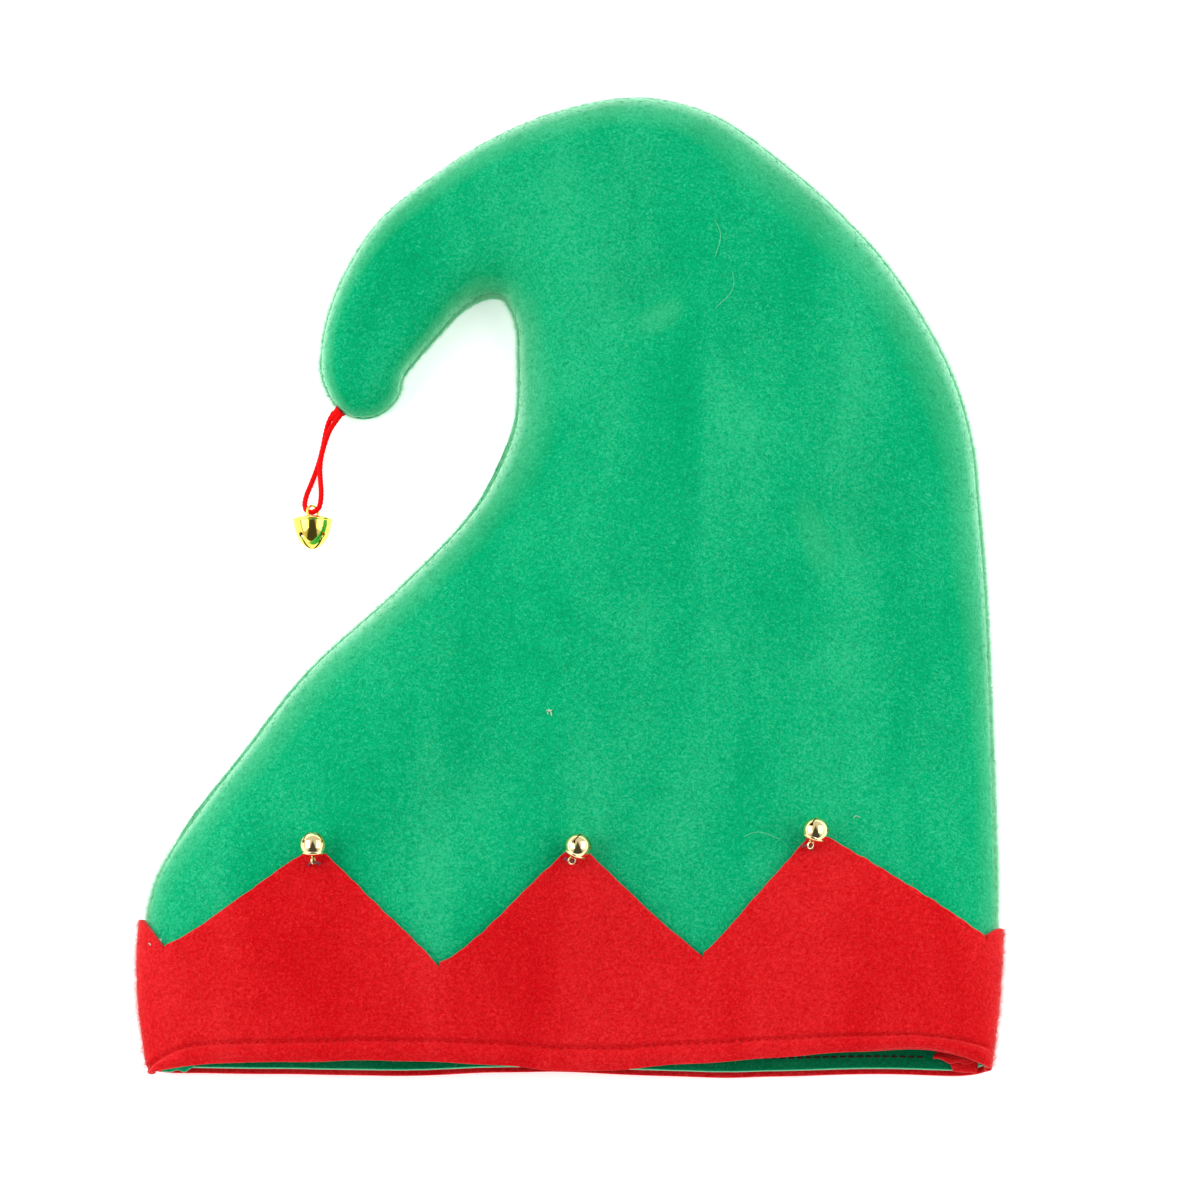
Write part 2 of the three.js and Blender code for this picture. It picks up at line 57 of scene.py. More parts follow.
# Driving dimensions of the bells and the cord, as in the part: a small bell is a ball cut off at
# a narrow flange, the tip's bell a tapered cup that is widest at its flange
BELL_DIAMETER = 0.0088
BELL_LEAN = math.radians(4)
BELL_BELOW_PEAK = 0.0033
BELL = {
    "radius": BELL_DIAMETER / 2, "flange": 0.00025, "flange_turn": math.radians(-37),
    "metal": 0.0004, "slot": 0.0005, "loop_height": 0.0028, "wire": 0.0006,
    "cap_share": 0.30, "cup_share": 1.0, "fullness": 2.0, "loop_sink_share": 0.30,
    "loop_width_share": 1.0,
}
TIP_BELL_DIAMETER = 0.0136
TIP_RING_TURN = math.radians(-48)
TIP_BELL = {
    "radius": TIP_BELL_DIAMETER / 2 - 0.0004, "flange": 0.0004, "flange_turn": 0.0,
    "metal": 0.0005, "slot": 0.0008, "loop_height": 0.0050, "wire": 0.0008,
    "cap_share": 0.25, "cup_share": 1.5, "fullness": 1.75, "loop_sink_share": 0.50,
    "loop_width_share": 1.2,
}
FLOOR_GAP = 0.00005
CORD_DIAMETER = 0.0018

# Sections across the hat, from the mouth round the bend to the tip. Columns: inner edge x and y,
# outer edge x and y, as shares of the width and the length; crest, as a share of the loft.
SECTION_SHARE = 0.08
SECTIONS = np.array([
    [-0.473, -0.500, 0.475, -0.500, 0.60],
    [-0.486, -0.420, 0.486, -0.420, 0.72],
    [-0.483, -0.340, 0.492, -0.340, 0.82],
    [-0.452, -0.260, 0.492, -0.260, 0.90],
    [-0.385, -0.180, 0.490, -0.180, 0.95],
    [-0.313, -0.100, 0.488, -0.100, 0.98],
    [-0.213, -0.020, 0.485, -0.020, 1.00],
    [-0.126, 0.060, 0.479, 0.060, 1.00],
    [-0.082, 0.132, 0.470, 0.140, 0.98],
    [-0.065, 0.184, 0.442, 0.217, 0.95],
    [-0.060, 0.231, 0.385, 0.304, 0.92],
    [-0.064, 0.260, 0.326, 0.365, 0.89],
    [-0.074, 0.277, 0.255, 0.422, 0.86],
    [-0.088, 0.283, 0.172, 0.474, 0.82],
    [-0.102, 0.282, 0.083, 0.493, 0.78],
    [-0.118, 0.275, -0.011, 0.479, 0.75],
    [-0.135, 0.262, -0.095, 0.448, 0.72],
    [-0.149, 0.247, -0.166, 0.407, 0.68],
    [-0.164, 0.231, -0.225, 0.363, 0.65],
    [-0.178, 0.216, -0.264, 0.310, 0.61],
    [-0.190, 0.202, -0.285, 0.262, 0.57],
    [-0.197, 0.187, -0.292, 0.220, 0.53],
    [-0.206, 0.152, -0.294, 0.167, 0.50],
])
NOSE_SECTION = 21
LAST_SECTION = len(SECTIONS) - 1

# Soft folds of the front panel. Columns: from x and y, to x and y, as shares of the width and
# the length; rise, as a share of the loft (a valley is below 0); spread, as a share of the width.
FOLDS = [
    [0.082, 0.377, 0.093, 0.272, -0.09, 0.050],
    [0.093, 0.272, 0.036, 0.231, -0.07, 0.050],
    [-0.078, 0.016, -0.089, -0.085, -0.07, 0.060],
    [-0.055, -0.145, -0.111, -0.235, -0.08, 0.060],
    [-0.111, -0.235, -0.189, -0.294, -0.06, 0.060],
    [0.242, 0.210, 0.321, 0.036, -0.09, 0.060],
    [0.321, 0.036, 0.397, -0.205, -0.11, 0.060],
    [-0.229, 0.241, -0.200, 0.262, -0.06, 0.045],
    [0.036, -0.004, -0.010, -0.165, 0.06, 0.070],
    [0.230, 0.108, 0.251, -0.045, 0.06, 0.060],
    [0.058, -0.496, 0.058, -0.400, -0.20, 0.130],
    [0.394, -0.483, 0.394, -0.400, 0.10, 0.090],
]

# Corners of the band's zigzag edge. Columns: x as a share of the width; rise above the rim and
# sag of the leg that starts here, as shares of the band's height; kind of corner.
ZIGZAG = [
    [-0.600, 0.30, 0.0, "end"],
    [-0.494, 0.69, 0.0, "end"],
    [-0.464, 0.542, 0.023, "valley"],
    [-0.287, 0.963, 0.0, "peak"],
    [-0.149, 0.43, 0.038, "valley"],
    [0.010, 0.982, 0.0, "peak"],
    [0.150, 0.48, 0.010, "valley"],
    [0.282, 1.030, 0.0, "peak"],
    [0.476, 0.592, 0.0, "valley"],
    [0.600, 0.90, 0.0, "end"],
]
# Bells on the peaks. Columns: name, zigzag corner, turn on the felt, turn of the loop, and step
# to the right, as a share of the bell's diameter.
SMALL_BELLS = [
    ["bell_left", 3, math.radians(0), math.radians(65), 0.0],
    ["bell_middle", 5, math.radians(-22), math.radians(0), -0.14],
    ["bell_right", 7, math.radians(-19), math.radians(25), -0.22],
]

# The rim's edge is uneven. Columns: x as a share of the width; how far the front rim and the back
# rim lie in from their line, in metres.
RIM_SHIFTS = np.array([
    [-0.50, 0.0016, 0.0045],
    [-0.48, 0.0000, 0.0018],
    [-0.45, 0.0000, 0.0012],
    [-0.37, 0.0000, 0.0014],
    [-0.26, -0.0007, 0.0010],
    [-0.20, -0.0006, 0.0006],
    [-0.14, -0.0013, 0.0010],
    [-0.08, -0.0020, 0.0016],
    [-0.02, -0.0028, 0.0022],
    [0.04, -0.0026, 0.0014],
    [0.10, -0.0009, 0.0006],
    [0.19, -0.0003, 0.0000],
    [0.25, 0.0010, 0.0003],
    [0.30, 0.0020, 0.0011],
    [0.35, 0.0030, 0.0012],
    [0.39, 0.0041, 0.0011],
    [0.42, 0.0042, 0.0006],
    [0.45, 0.0032, 0.0003],
    [0.48, 0.0012, 0.0014],
    [0.50, 0.0014, 0.0042],
])

# The cord's route: out of the tip's seam, down onto the surface, through the bell's ring and
# back over itself into the seam
RING_POINT = [-0.0859, 0.0214, 0.0072]
CORD_ROUTE = [
    [-0.0791, 0.0562, 0.0077],
    [-0.0809, 0.0532, 0.0060],
    [-0.0821, 0.0497, 0.0034],
    [-0.0829, 0.0461, 0.0015],
    [-0.0839, 0.0418, 0.0010],
    [-0.0852, 0.0374, 0.0010],
    [-0.0867, 0.0331, 0.0013],
    [-0.0881, 0.0289, 0.0025],
    [-0.0887, 0.0253, 0.0041],
    [-0.0880, 0.0225, 0.0056],
    RING_POINT,
    [-0.0838, 0.0225, 0.0088],
    [-0.0831, 0.0253, 0.0093],
    [-0.0831, 0.0289, 0.0080],
    [-0.0835, 0.0331, 0.0057],
    [-0.0838, 0.0374, 0.0038],
    [-0.0835, 0.0418, 0.0031],
    [-0.0824, 0.0460, 0.0038],
    [-0.0807, 0.0500, 0.0060],
    [-0.0785, 0.0529, 0.0082],
    [-0.0764, 0.0555, 0.0089],
]
# The two ends of the cord, bound together where they enter the seam, thicker towards the seam
CORD_END_FROM = [-0.0801, 0.0540, 0.0066]
CORD_END_TO = [-0.0768, 0.0567, 0.0082]
CORD_END_RADII = (0.0012, 0.0022)
CORD_END_RELIEF = 0.05
CORD_END_RIDGES = 5
CORD_END_ROWS = 24

SEAM_GAP_SHARE = 0.3
HALF_LAYER_GAP = LAYER_GAP / 2 * SEAM_GAP_SHARE
BAND_STANDOFF = LAYER_GAP + BAND_FELT
ROW_LENGTH = SECTION_SHARE * HAT_LENGTH
MOUTH_Y = -HAT_LENGTH / 2
RECESS_RUN = RIM_RECESS / ROW_LENGTH
BAND_TOP_RUN = math.ceil(BAND_HEIGHT * 2 / ROW_LENGTH) / 2
FRONT, BACK = 1, -1


# Camera

CAMERA_TARGET = Vector((0.0103, -0.00925, 0.008))
CAMERA_DISTANCE = 2.0
CAMERA_ELEVATION = math.radians(75)
CAMERA_LENS = 180
CAMERA_SENSOR = 36


def add_camera():
    data = bpy.data.cameras.new("camera")
    data.lens = CAMERA_LENS
    data.sensor_width = CAMERA_SENSOR
    camera = link_object("camera", data)
    back = Vector((0, -math.cos(CAMERA_ELEVATION), math.sin(CAMERA_ELEVATION)))
    camera.location = CAMERA_TARGET + back * CAMERA_DISTANCE
    camera.rotation_euler = (-back).to_track_quat("-Z", "Y").to_euler()
    bpy.context.scene.camera = camera


# Meshes

MERGE_STEP = 1e-6


def grid_of(rows, columns):
    """Vertex numbers of a grid, row by row."""
    return np.arange(rows * columns).reshape(rows, columns)


def quads_of(index):
    """Quads between neighbouring rows and columns of a grid of vertex numbers."""
    corners = [index[:-1, :-1], index[:-1, 1:], index[1:, 1:], index[1:, :-1]]
    return np.stack(corners, axis=-1).reshape(-1, 4)


def ring_quads(index):
    """Quads between rows that each close on themselves."""
    return quads_of(np.hstack([index, index[:, :1]]))


def link_object(name, data):
    item = bpy.data.objects.new(name, data)
    bpy.context.scene.collection.objects.link(item)
    return item


def mesh_object(name, points, faces, material, smooth=False):
    mesh = bpy.data.meshes.new(name)
    mesh.from_pydata(points, [], faces)
    mesh.polygons.foreach_set("use_smooth", [smooth] * len(mesh.polygons))
    mesh.update()
    mesh.materials.append(material)
    return link_object(name, mesh)


def closed_object(name, points, faces, material):
    """Closed shells: equal points are merged, empty faces dropped and faces pointed outwards."""
    points = np.asarray(points, float).reshape(-1, 3)
    keys = np.round(points / MERGE_STEP).astype(np.int64)
    _, first, number = np.unique(keys, axis=0, return_index=True, return_inverse=True)
    number = number.reshape(-1)
    merged = (list(dict.fromkeys(int(number[i]) for i in face)) for face in faces)
    kept = [corners for corners in merged if len(corners) > 2]
    item = mesh_object(name, points[first].tolist(), kept, material, smooth=True)
    work = bmesh.new()
    work.from_mesh(item.data)
    bmesh.ops.recalc_face_normals(work, faces=work.faces)
    work.to_mesh(item.data)
    work.free()
    return item


def unit(vectors):
    length = np.linalg.norm(vectors, axis=-1, keepdims=True)
    return vectors / np.maximum(length, 1e-12)


def bump_of(x, centre, spread):
    return np.exp(-(((x - centre) / spread) ** 2))


def smooth_step(x, low, high):
    part = np.clip((x - low) / (high - low), 0, 1)
    return part * part * (3 - 2 * part)


def curve_through(rows, place):
    """Smooth curve through a table's rows, at places counted in rows."""
    padded = np.vstack([2 * rows[:1] - rows[1:2], rows, 2 * rows[-1:] - rows[-2:-1]])
    row = np.clip(np.floor(place).astype(int), 0, len(rows) - 2)
    part = (place - row)[..., None]
    a, b, c, d = (padded[row + k] for k in range(4))
    bend = a - 2.5 * b + 2 * c - d / 2
    twist = (d - a) / 2 + 1.5 * (b - c)
    return b + part * ((c - a) / 2 + part * (bend + part * twist))


def waves(x, y, length, count, seed):
    """Uneven low waves over a plane, from -1 to 1, of about one wavelength."""
    random = np.random.default_rng(seed)
    total = np.zeros(np.broadcast(x, y).shape)
    for _ in range(count):
        turn = random.uniform(0, 2 * math.pi)
        pace = 2 * math.pi / (length * random.uniform(0.7, 1.5))
        phase = random.uniform(0, 2 * math.pi)
        total += np.sin(pace * (x * math.cos(turn) + y * math.sin(turn)) + phase)
    return total / count


# Shape of the panels

SIZE = np.array([HAT_WIDTH, HAT_LENGTH])


def section_at(run):
    """One section: its middle, its half width, and its height above and below the seam."""
    value = curve_through(SECTIONS, run)
    inner, outer = value[..., 0:2] * SIZE, value[..., 2:4] * SIZE
    nose_share = np.maximum(0, (run - NOSE_SECTION) / (LAST_SECTION - NOSE_SECTION))
    nose = np.sqrt(np.maximum(0, 1 - nose_share ** 2))
    lift = BAND_STANDOFF * (1 - smooth_step(run, BAND_TOP_RUN, BAND_TOP_RUN + BAND_EASE / ROW_LENGTH))
    half = (outer - inner) / 2
    return {
        "middle": (inner + outer) / 2,
        "side": unit(half),
        "half": half * nose[..., None],
        "rise": (value[..., 4] * LOFT - SEAM_HEIGHT - HALF_LAYER_GAP) * nose,
        "drop": (SEAM_HEIGHT - HALF_LAYER_GAP - lift) * nose,
    }


FOLD_GAIN = 1.35


def fold_height(x, y):
    height = np.zeros_like(x)
    for from_x, from_y, to_x, to_y, rise, spread in FOLDS:
        start = np.array([from_x, from_y]) * SIZE
        leg = np.array([to_x, to_y]) * SIZE - start
        along = np.clip(((x - start[0]) * leg[0] + (y - start[1]) * leg[1]) / (leg @ leg), 0, 1)
        away = np.hypot(x - start[0] - along * leg[0], y - start[1] - along * leg[1])
        height += rise * LOFT * FOLD_GAIN * bump_of(away, 0, spread * HAT_WIDTH)
    return height


# The front panel's edge at the inner seam lies inside the back panel's, so that the seam shows.
# Columns: run where it starts, is full, begins to end and has ended; how far inside.
LIP_INSETS = [
    [2.2, 3.3, 7.6, 10.0, 0.0042],
    [11.6, 12.8, 19.5, 22.3, 0.0015],
]
LIP_POWER = 7
LIP_SHARE = 0.45
LIP_RISE = 0.8
LIP_DROP = 0.35
RIPPLE = 0.0005
RIPPLE_LENGTH = 0.050
RIM_WAVE = 0.0003
RIM_WAVE_LENGTH = 0.03
RIM_FADE_RUN = 1.0
RIM_SOFT_SHARE = 0.015


def lip_inset(run):
    total = np.zeros_like(run)
    for start, full, fade, end, depth in LIP_INSETS:
        total += depth * smooth_step(run, start, full) * (1 - smooth_step(run, fade, end))
    return total


def rim_shift(x, run, column):
    """How far the uneven rim moves a place on a panel, up the hat."""
    shift = np.zeros_like(x)
    for step, weight in ((-RIM_SOFT_SHARE, 0.25), (0.0, 0.5), (RIM_SOFT_SHARE, 0.25)):
        shift = shift + weight * np.interp(x / HAT_WIDTH + step, RIM_SHIFTS[:, 0], RIM_SHIFTS[:, column])
    return shift * np.clip(1 - run / RIM_FADE_RUN, 0, 1) ** 2


def front_base(across, run):
    """Outer surface of the front panel. across runs from -1 at the inner seam to 1."""
    section = section_at(run)
    share = np.sin(across * math.pi / 2)
    dome = np.sqrt(np.maximum(0, 1 - np.abs(share) ** DOME_POWER))
    plan = section["middle"] + share[..., None] * section["half"]
    inset = lip_inset(run) * np.clip(-share, 0, 1) ** LIP_POWER
    plan = plan + inset[..., None] * section["side"]
    x, y = plan[..., 0], plan[..., 1]
    y = y + RIM_SETBACK * dome * np.maximum(0, 1 - run / 2) ** 2
    y = y + RIM_WAVE * waves(x, 0 * x, RIM_WAVE_LENGTH, 4, 11) * np.clip(1 - run, 0, 1) + rim_shift(x, run, 1)
    rise = section["rise"] + fold_height(x, y) + RIPPLE * waves(x, y, RIPPLE_LENGTH, 7, 5)
    return np.stack([x, y, SEAM_HEIGHT + HALF_LAYER_GAP + rise * dome], axis=-1)


BACK_FLAT_SHARE = 0.4
FULLEST_ROUND = 0.9


def back_base(across, run):
    """Outer surface of the back panel: flat where it rests, rounded up to the seams."""
    section = section_at(run)
    length = np.linalg.norm(section["half"], axis=-1)
    round_share = np.minimum(FULLEST_ROUND, EDGE_ROUND / np.maximum(length, EDGE_ROUND))
    flat = 1 - round_share
    into_edge = np.maximum(0, (np.abs(across) - BACK_FLAT_SHARE) / (1 - BACK_FLAT_SHARE))
    turn = into_edge * math.pi / 2
    edge_side = flat + round_share * np.sin(turn)
    side = np.where(into_edge > 0, edge_side, np.abs(across) / BACK_FLAT_SHARE * flat)
    plan = section["middle"] + (np.sign(across) * side)[..., None] * section["half"]
    x, y = plan[..., 0], plan[..., 1]
    y = y + RIM_WAVE * waves(x, 0 * x, RIM_WAVE_LENGTH, 4, 23) * np.clip(1 - run, 0, 1) + rim_shift(x, run, 2)
    z = SEAM_HEIGHT - HALF_LAYER_GAP - section["drop"] * np.cos(turn)
    return np.stack([x, y, z], axis=-1)


NEAR = 0.002
GROOVE_DEPTH = 0.0009
GROOVE_HEIGHT = 0.0009
LIP_HEIGHT = 1.4 * GROOVE_HEIGHT
OUTER_GROOVE_SHARE = 0.25
PUCKER_SHARE = 0.12
PUCKER_RUN = 0.30


def panel_points(panel, across, run, distance):
    """Points at a distance out of a panel's outer surface, with the seams drawn in."""
    base = front_base if panel == FRONT else back_base
    across, run, distance = np.broadcast_arrays(across, run, distance)
    to_right = base(np.minimum(1, across + NEAR), run) - base(np.maximum(-1, across - NEAR), run)
    to_tip = base(across, run + NEAR) - base(across, np.where(run > NEAR, run - NEAR, run))
    normal = unit(np.cross(to_right, to_tip)) * panel
    ahead = section_at(np.array(float(LAST_SECTION)))["middle"]
    behind = section_at(np.array(LAST_SECTION - NEAR))["middle"]
    pole = unit(np.append(ahead - behind, 0.0))
    normal = np.where((run > LAST_SECTION - NEAR)[..., None], pole, normal)
    points = base(across, run) + distance[..., None] * normal
    # Seam: the outer face is drawn in along it, with small puckers
    flat_normal = normal * [1, 1, 0]
    level = bump_of(points[..., 2], SEAM_HEIGHT, GROOVE_HEIGHT)
    pucker = 1 + PUCKER_SHARE * np.sin(2 * math.pi * run / PUCKER_RUN + 3 * np.sin(run * 2.3))
    outside = np.clip(1 + distance / CROWN_FELT, 0, 1)
    pull = GROOVE_DEPTH * level * pucker * outside * np.where(across < 0, 1.0, OUTER_GROOVE_SHARE)
    # At the inner seam the back panel's edge rolls up outside the seam, which lies in a groove
    lip = np.where(across < 0, lip_inset(run), 0.0)
    lift = -LIP_DROP * lip * pucker * bump_of(points[..., 2], SEAM_HEIGHT, LIP_HEIGHT)
    if panel == BACK:
        from_seam = np.clip((1 - np.abs(across)) / (1 - BACK_FLAT_SHARE) / LIP_SHARE, 0, 1)
        pull = pull + lip * (1 - smooth_step(from_seam, 0, 1))
        lift = lift + LIP_RISE * lip * pucker * np.sin(math.pi * from_seam)
    points = points - pull[..., None] * flat_normal
    points[..., 2] += lift * outside
    return points, normal


# A layer of felt is one closed loop of rows: up its outer face, round its edge, down its inner
# face and round the rim. The loop's first and last rows lie in the middle of the rim's edge.

def close_shell(rows, columns):
    """Faces of a closed shell of looped rows, with its two ends closed."""
    index = grid_of(rows, columns)
    looped = np.vstack([index, index[:1]])
    sides = [quads_of(looped)]
    half = rows // 2
    for column in (0, columns - 1):
        rim = index[:, column]
        pairs = np.stack([rim[:half], rim[::-1][:half]], axis=0)
        sides.append(quads_of(pairs))
    return np.vstack(sides)


def felt_layer(name, panel, columns, run, distance, material):
    """Closed layer of felt that doesn't reach below the surface, and the grid of its points."""
    points, _ = panel_points(panel, columns[None, :], run, distance)
    points[..., 2] = np.maximum(points[..., 2], 0)
    return closed_object(name, points, close_shell(len(points), len(columns)), material), points


EDGE_STEPS = 5
EDGE_BULGE = 0.22


def edge_loop(felt):
    """Rounded edge of a felt layer: how far out it bulges and how far it lies in, outer half."""
    turns = [(i + 0.5) / EDGE_STEPS * math.pi / 2 for i in range(EDGE_STEPS)]
    return [(felt * EDGE_BULGE * math.cos(t), felt / 2 * (1 - math.sin(t))) for t in turns]


def column_list(middle_columns, edge_columns, edge_from):
    """Places across a panel, denser near both seams."""
    middle = np.linspace(-edge_from, edge_from, middle_columns)
    edge = edge_from + (1 - edge_from) * np.linspace(0, 1, edge_columns + 1)[1:]
    return np.concatenate([-edge[::-1], middle, edge])


CROWN_MIDDLE_COLUMNS = 90
CROWN_EDGE_COLUMNS = 14
CROWN_EDGE_FROM = 0.93
BACK_MIDDLE_COLUMNS = 70
CROWN_ROWS_PER_SECTION = 11
NOSE_ROWS = 16
INNER_NORMAL = 0.5


def crown_runs():
    plain = np.linspace(RECESS_RUN, NOSE_SECTION, NOSE_SECTION * CROWN_ROWS_PER_SECTION)
    turn = np.linspace(0, math.pi / 2, NOSE_ROWS + 1)[1:]
    return np.concatenate([plain, NOSE_SECTION + (LAST_SECTION - NOSE_SECTION) * np.sin(turn)])


def paint_hollow_shade(panel):
    """Gives the back panel's faces that look up into the hollow a darker green felt without pale sheen:
    painted shade of the hollow under the front panel.
    """
    panel.data.materials.append(felt_painted_hollow_shade)
    for polygon in panel.data.polygons:
        if polygon.normal.z > INNER_NORMAL:
            polygon.material_index = 1


def crown_panel(name, panel, middle_columns, material):
    """One felt panel of the crown, open at the mouth, and the grid of its outer face."""
    columns = column_list(middle_columns, CROWN_EDGE_COLUMNS, CROWN_EDGE_FROM)
    runs = crown_runs()
    rim = edge_loop(CROWN_FELT)
    rows = [(RECESS_RUN - out / ROW_LENGTH, -depth) for out, depth in rim]
    rows += [(run, 0.0) for run in runs]
    rows += [(run, -CROWN_FELT) for run in runs[::-1]]
    rows += [(RECESS_RUN - out / ROW_LENGTH, depth - CROWN_FELT) for out, depth in rim[::-1]]
    run, distance = (np.array(part)[:, None] for part in zip(*rows))
    item, points = felt_layer(name, panel, columns, run, distance, material)
    return item, points[len(rim):len(rim) + len(runs)]


# The band

NICK_DEPTH = 0.0017
NICK_WIDTH = 0.0005
NICK_ASIDE = 0.0005
SAG_PEAK = 0.1055
CUT_WAVE = 0.0004
CUT_WAVE_LENGTH = 0.006


def zigzag_y(x):
    """Upper edge of the band's front at x: straight or sagging legs, and cuts past the valleys."""
    y = np.full_like(x, MOUTH_Y)
    for corner, after in zip(ZIGZAG, ZIGZAG[1:]):
        x0, x1 = corner[0] * HAT_WIDTH, after[0] * HAT_WIDTH
        part = np.clip((x - x0) / (x1 - x0), 0, 1)
        rise = corner[1] + (after[1] - corner[1]) * part
        sag = corner[2] * part * (1 - part) ** 3 / SAG_PEAK
        y = np.where((x >= x0) & (x <= x1), MOUTH_Y + (rise - sag) * BAND_HEIGHT, y)
    for x_share, _, _, kind in ZIGZAG:
        if kind == "valley":
            away = np.abs(x - x_share * HAT_WIDTH - NICK_ASIDE)
            y = y - NICK_DEPTH * np.maximum(0, 1 - away / NICK_WIDTH)
    return y + CUT_WAVE * waves(x, 0 * x, CUT_WAVE_LENGTH, 5, 31)


HEM_LIMIT = 0.010
HEM_STEP = 0.0005
HEM_STITCH = 0.0062
HEM_GROOVE = 0.0012
HEM_GROOVE_WIDTH = 0.0008
HEM_PUFF = 0.0006
HEM_PUFF_AT = 0.0032
HEM_PUFF_WIDTH = 0.0018
HEM_EDGE_DROP = 0.0008
HEM_EDGE_WIDTH = 0.0010
HEM_TURN_DOWN = 0.0048
HEM_TURN_DOWN_FROM = (0.68, 0.98)
HEM_FADE_LEFT = (0.955, 1.0)
HEM_FADE_RIGHT = (0.86, 0.97)
BAND_UPPER_ROWS = 18
BAND_MIDDLE_COLUMNS = 430
BAND_EDGE_COLUMNS = 16


def stitch_distance(across):
    """The line of stitches above the rim, which comes down to it at the left corner."""
    return HEM_STITCH - HEM_TURN_DOWN * smooth_step(-across, *HEM_TURN_DOWN_FROM)


def band_relief(across, away):
    """Height added to the band's outer face by the row of stitches and the rolled rim."""
    line = stitch_distance(across)
    groove = HEM_GROOVE * bump_of(away, line, HEM_GROOVE_WIDTH)
    puff = HEM_PUFF * bump_of(away, line - HEM_STITCH + HEM_PUFF_AT, HEM_PUFF_WIDTH)
    edge = HEM_EDGE_DROP * bump_of(away, 0, HEM_EDGE_WIDTH)
    fade = (1 - smooth_step(-across, *HEM_FADE_LEFT)) * (1 - smooth_step(across, *HEM_FADE_RIGHT))
    return (puff - groove - edge) * fade


def band_columns():
    columns = column_list(BAND_MIDDLE_COLUMNS, BAND_EDGE_COLUMNS, CROWN_EDGE_FROM)
    extra = []
    for x_share, rise, _, kind in ZIGZAG:
        if kind == "end":
            continue
        run = rise * BAND_HEIGHT / ROW_LENGTH
        section = section_at(np.array(run))
        for step in (-NICK_WIDTH, 0, NICK_WIDTH):
            aside = NICK_ASIDE + step if kind == "valley" else step
            share = (x_share * HAT_WIDTH + aside - section["middle"][0]) / section["half"][0]
            extra.append(math.asin(share) / (math.pi / 2))
    return np.unique(np.concatenate([columns, extra]))


def band_panel(name, panel, material):
    """Half of the band, cut to the zigzag edge, and the grid of its outer face."""
    columns = band_columns()
    top = np.full_like(columns, BAND_HEIGHT / ROW_LENGTH)
    for _ in range(12):
        x = panel_points(panel, columns, top, BAND_STANDOFF)[0][..., 0]
        top = (zigzag_y(x) - MOUTH_Y) / ROW_LENGTH
    hem = np.arange(0, HEM_LIMIT, HEM_STEP)
    upper = np.linspace(0, 1, BAND_UPPER_ROWS + 1)
    face = [(away, 0.0, 0.0) for away in hem] + [(HEM_LIMIT, share, 0.0) for share in upper]
    edge = edge_loop(BAND_FELT)
    rim_rows = [(-out, 0.0, depth) for out, depth in edge]
    top_rows = [(HEM_LIMIT + out, 1.0, depth) for out, depth in edge[::-1]]
    outer_rows = rim_rows + face + top_rows
    inner_rows = [(away, share, BAND_FELT - depth) for away, share, depth in outer_rows[::-1]]
    rows = outer_rows + inner_rows
    away, share, depth = (np.array(part)[:, None] for part in zip(*rows))
    run = (away + share * (top * ROW_LENGTH - HEM_LIMIT)) / ROW_LENGTH
    outside = np.clip(1 - depth / BAND_FELT, 0, 1)
    relief = band_relief(columns[None, :], run * ROW_LENGTH) * outside
    distance = BAND_STANDOFF - depth + relief
    item, points = felt_layer(name, panel, columns, run, distance, material)
    return item, points[len(rim_rows):len(rim_rows) + len(face)]


# Materials

def add_node(tree, kind, inputs, output=0, **settings):
    """One output of a new node, whose inputs are linked or set."""
    node = tree.nodes.new("ShaderNode" + kind)
    for name, value in settings.items():
        setattr(node, name, value)
    for socket, value in inputs.items():
        if isinstance(value, bpy.types.NodeSocket):
            tree.links.new(value, node.inputs[socket])
        else:
            node.inputs[socket].default_value = value
    return node.outputs[output]


def new_material(name):
    material = bpy.data.materials.new(name)
    material.use_nodes = True
    material.node_tree.nodes.clear()
    return material, material.node_tree


def add_surface(tree, inputs):
    output = tree.nodes.new("ShaderNodeOutputMaterial")
    tree.links.new(add_node(tree, "BsdfPrincipled", inputs), output.inputs["Surface"])


def noise_of(tree, feature, detail=3.0, roughness=0.6, distortion=0.0, stretch=(1, 1, 1)):
    """Noise over the object's own metres, whose features are about this large."""
    place = add_node(tree, "TexCoord", {}, "Object")
    return add_node(tree, "TexNoise", {
        "Vector": add_node(tree, "Mapping", {"Vector": place, "Scale": stretch}),
        "Scale": 1 / feature, "Detail": detail, "Roughness": roughness, "Distortion": distortion,
    })


def ramp_of(tree, source, stops):
    """Colour ramp with stops of position and linear colour."""
    colour = add_node(tree, "ValToRGB", {"Fac": source})
    elements = colour.node.color_ramp.elements
    while len(elements) < len(stops):
        elements.new(0.5)
    for element, (position, stop) in zip(elements, stops):
        element.position = position
        element.color = (*stop, 1)
    return colour


def sum_of(tree, first, second, share):
    """The first value with a share of the second added."""
    return add_node(tree, "Math", {0: second, 1: share, 2: first}, operation="MULTIPLY_ADD")


def bump_from(tree, height, depth, strength):
    return add_node(tree, "Bump", {"Strength": strength, "Distance": depth, "Height": height})


NAP_LENGTH = 0.045
NAP_SHARE = 0.36
SPECKLE = 0.0009
GRAIN = 0.0004
RIM_SHEEN = [(0.20, 0.0), (0.50, 0.14), (0.75, 0.60), (0.95, 1.0)]


def rim_sheen(tree, most):
    """Share of pale sheen painted into the base colour, from none face on to most where the felt curves out
    of sight.
    """
    facing = add_node(tree, "LayerWeight", {"Blend": 0.5}, "Facing")
    return ramp_of(tree, facing, [(place, [most * share] * 3) for place, share in RIM_SHEEN])


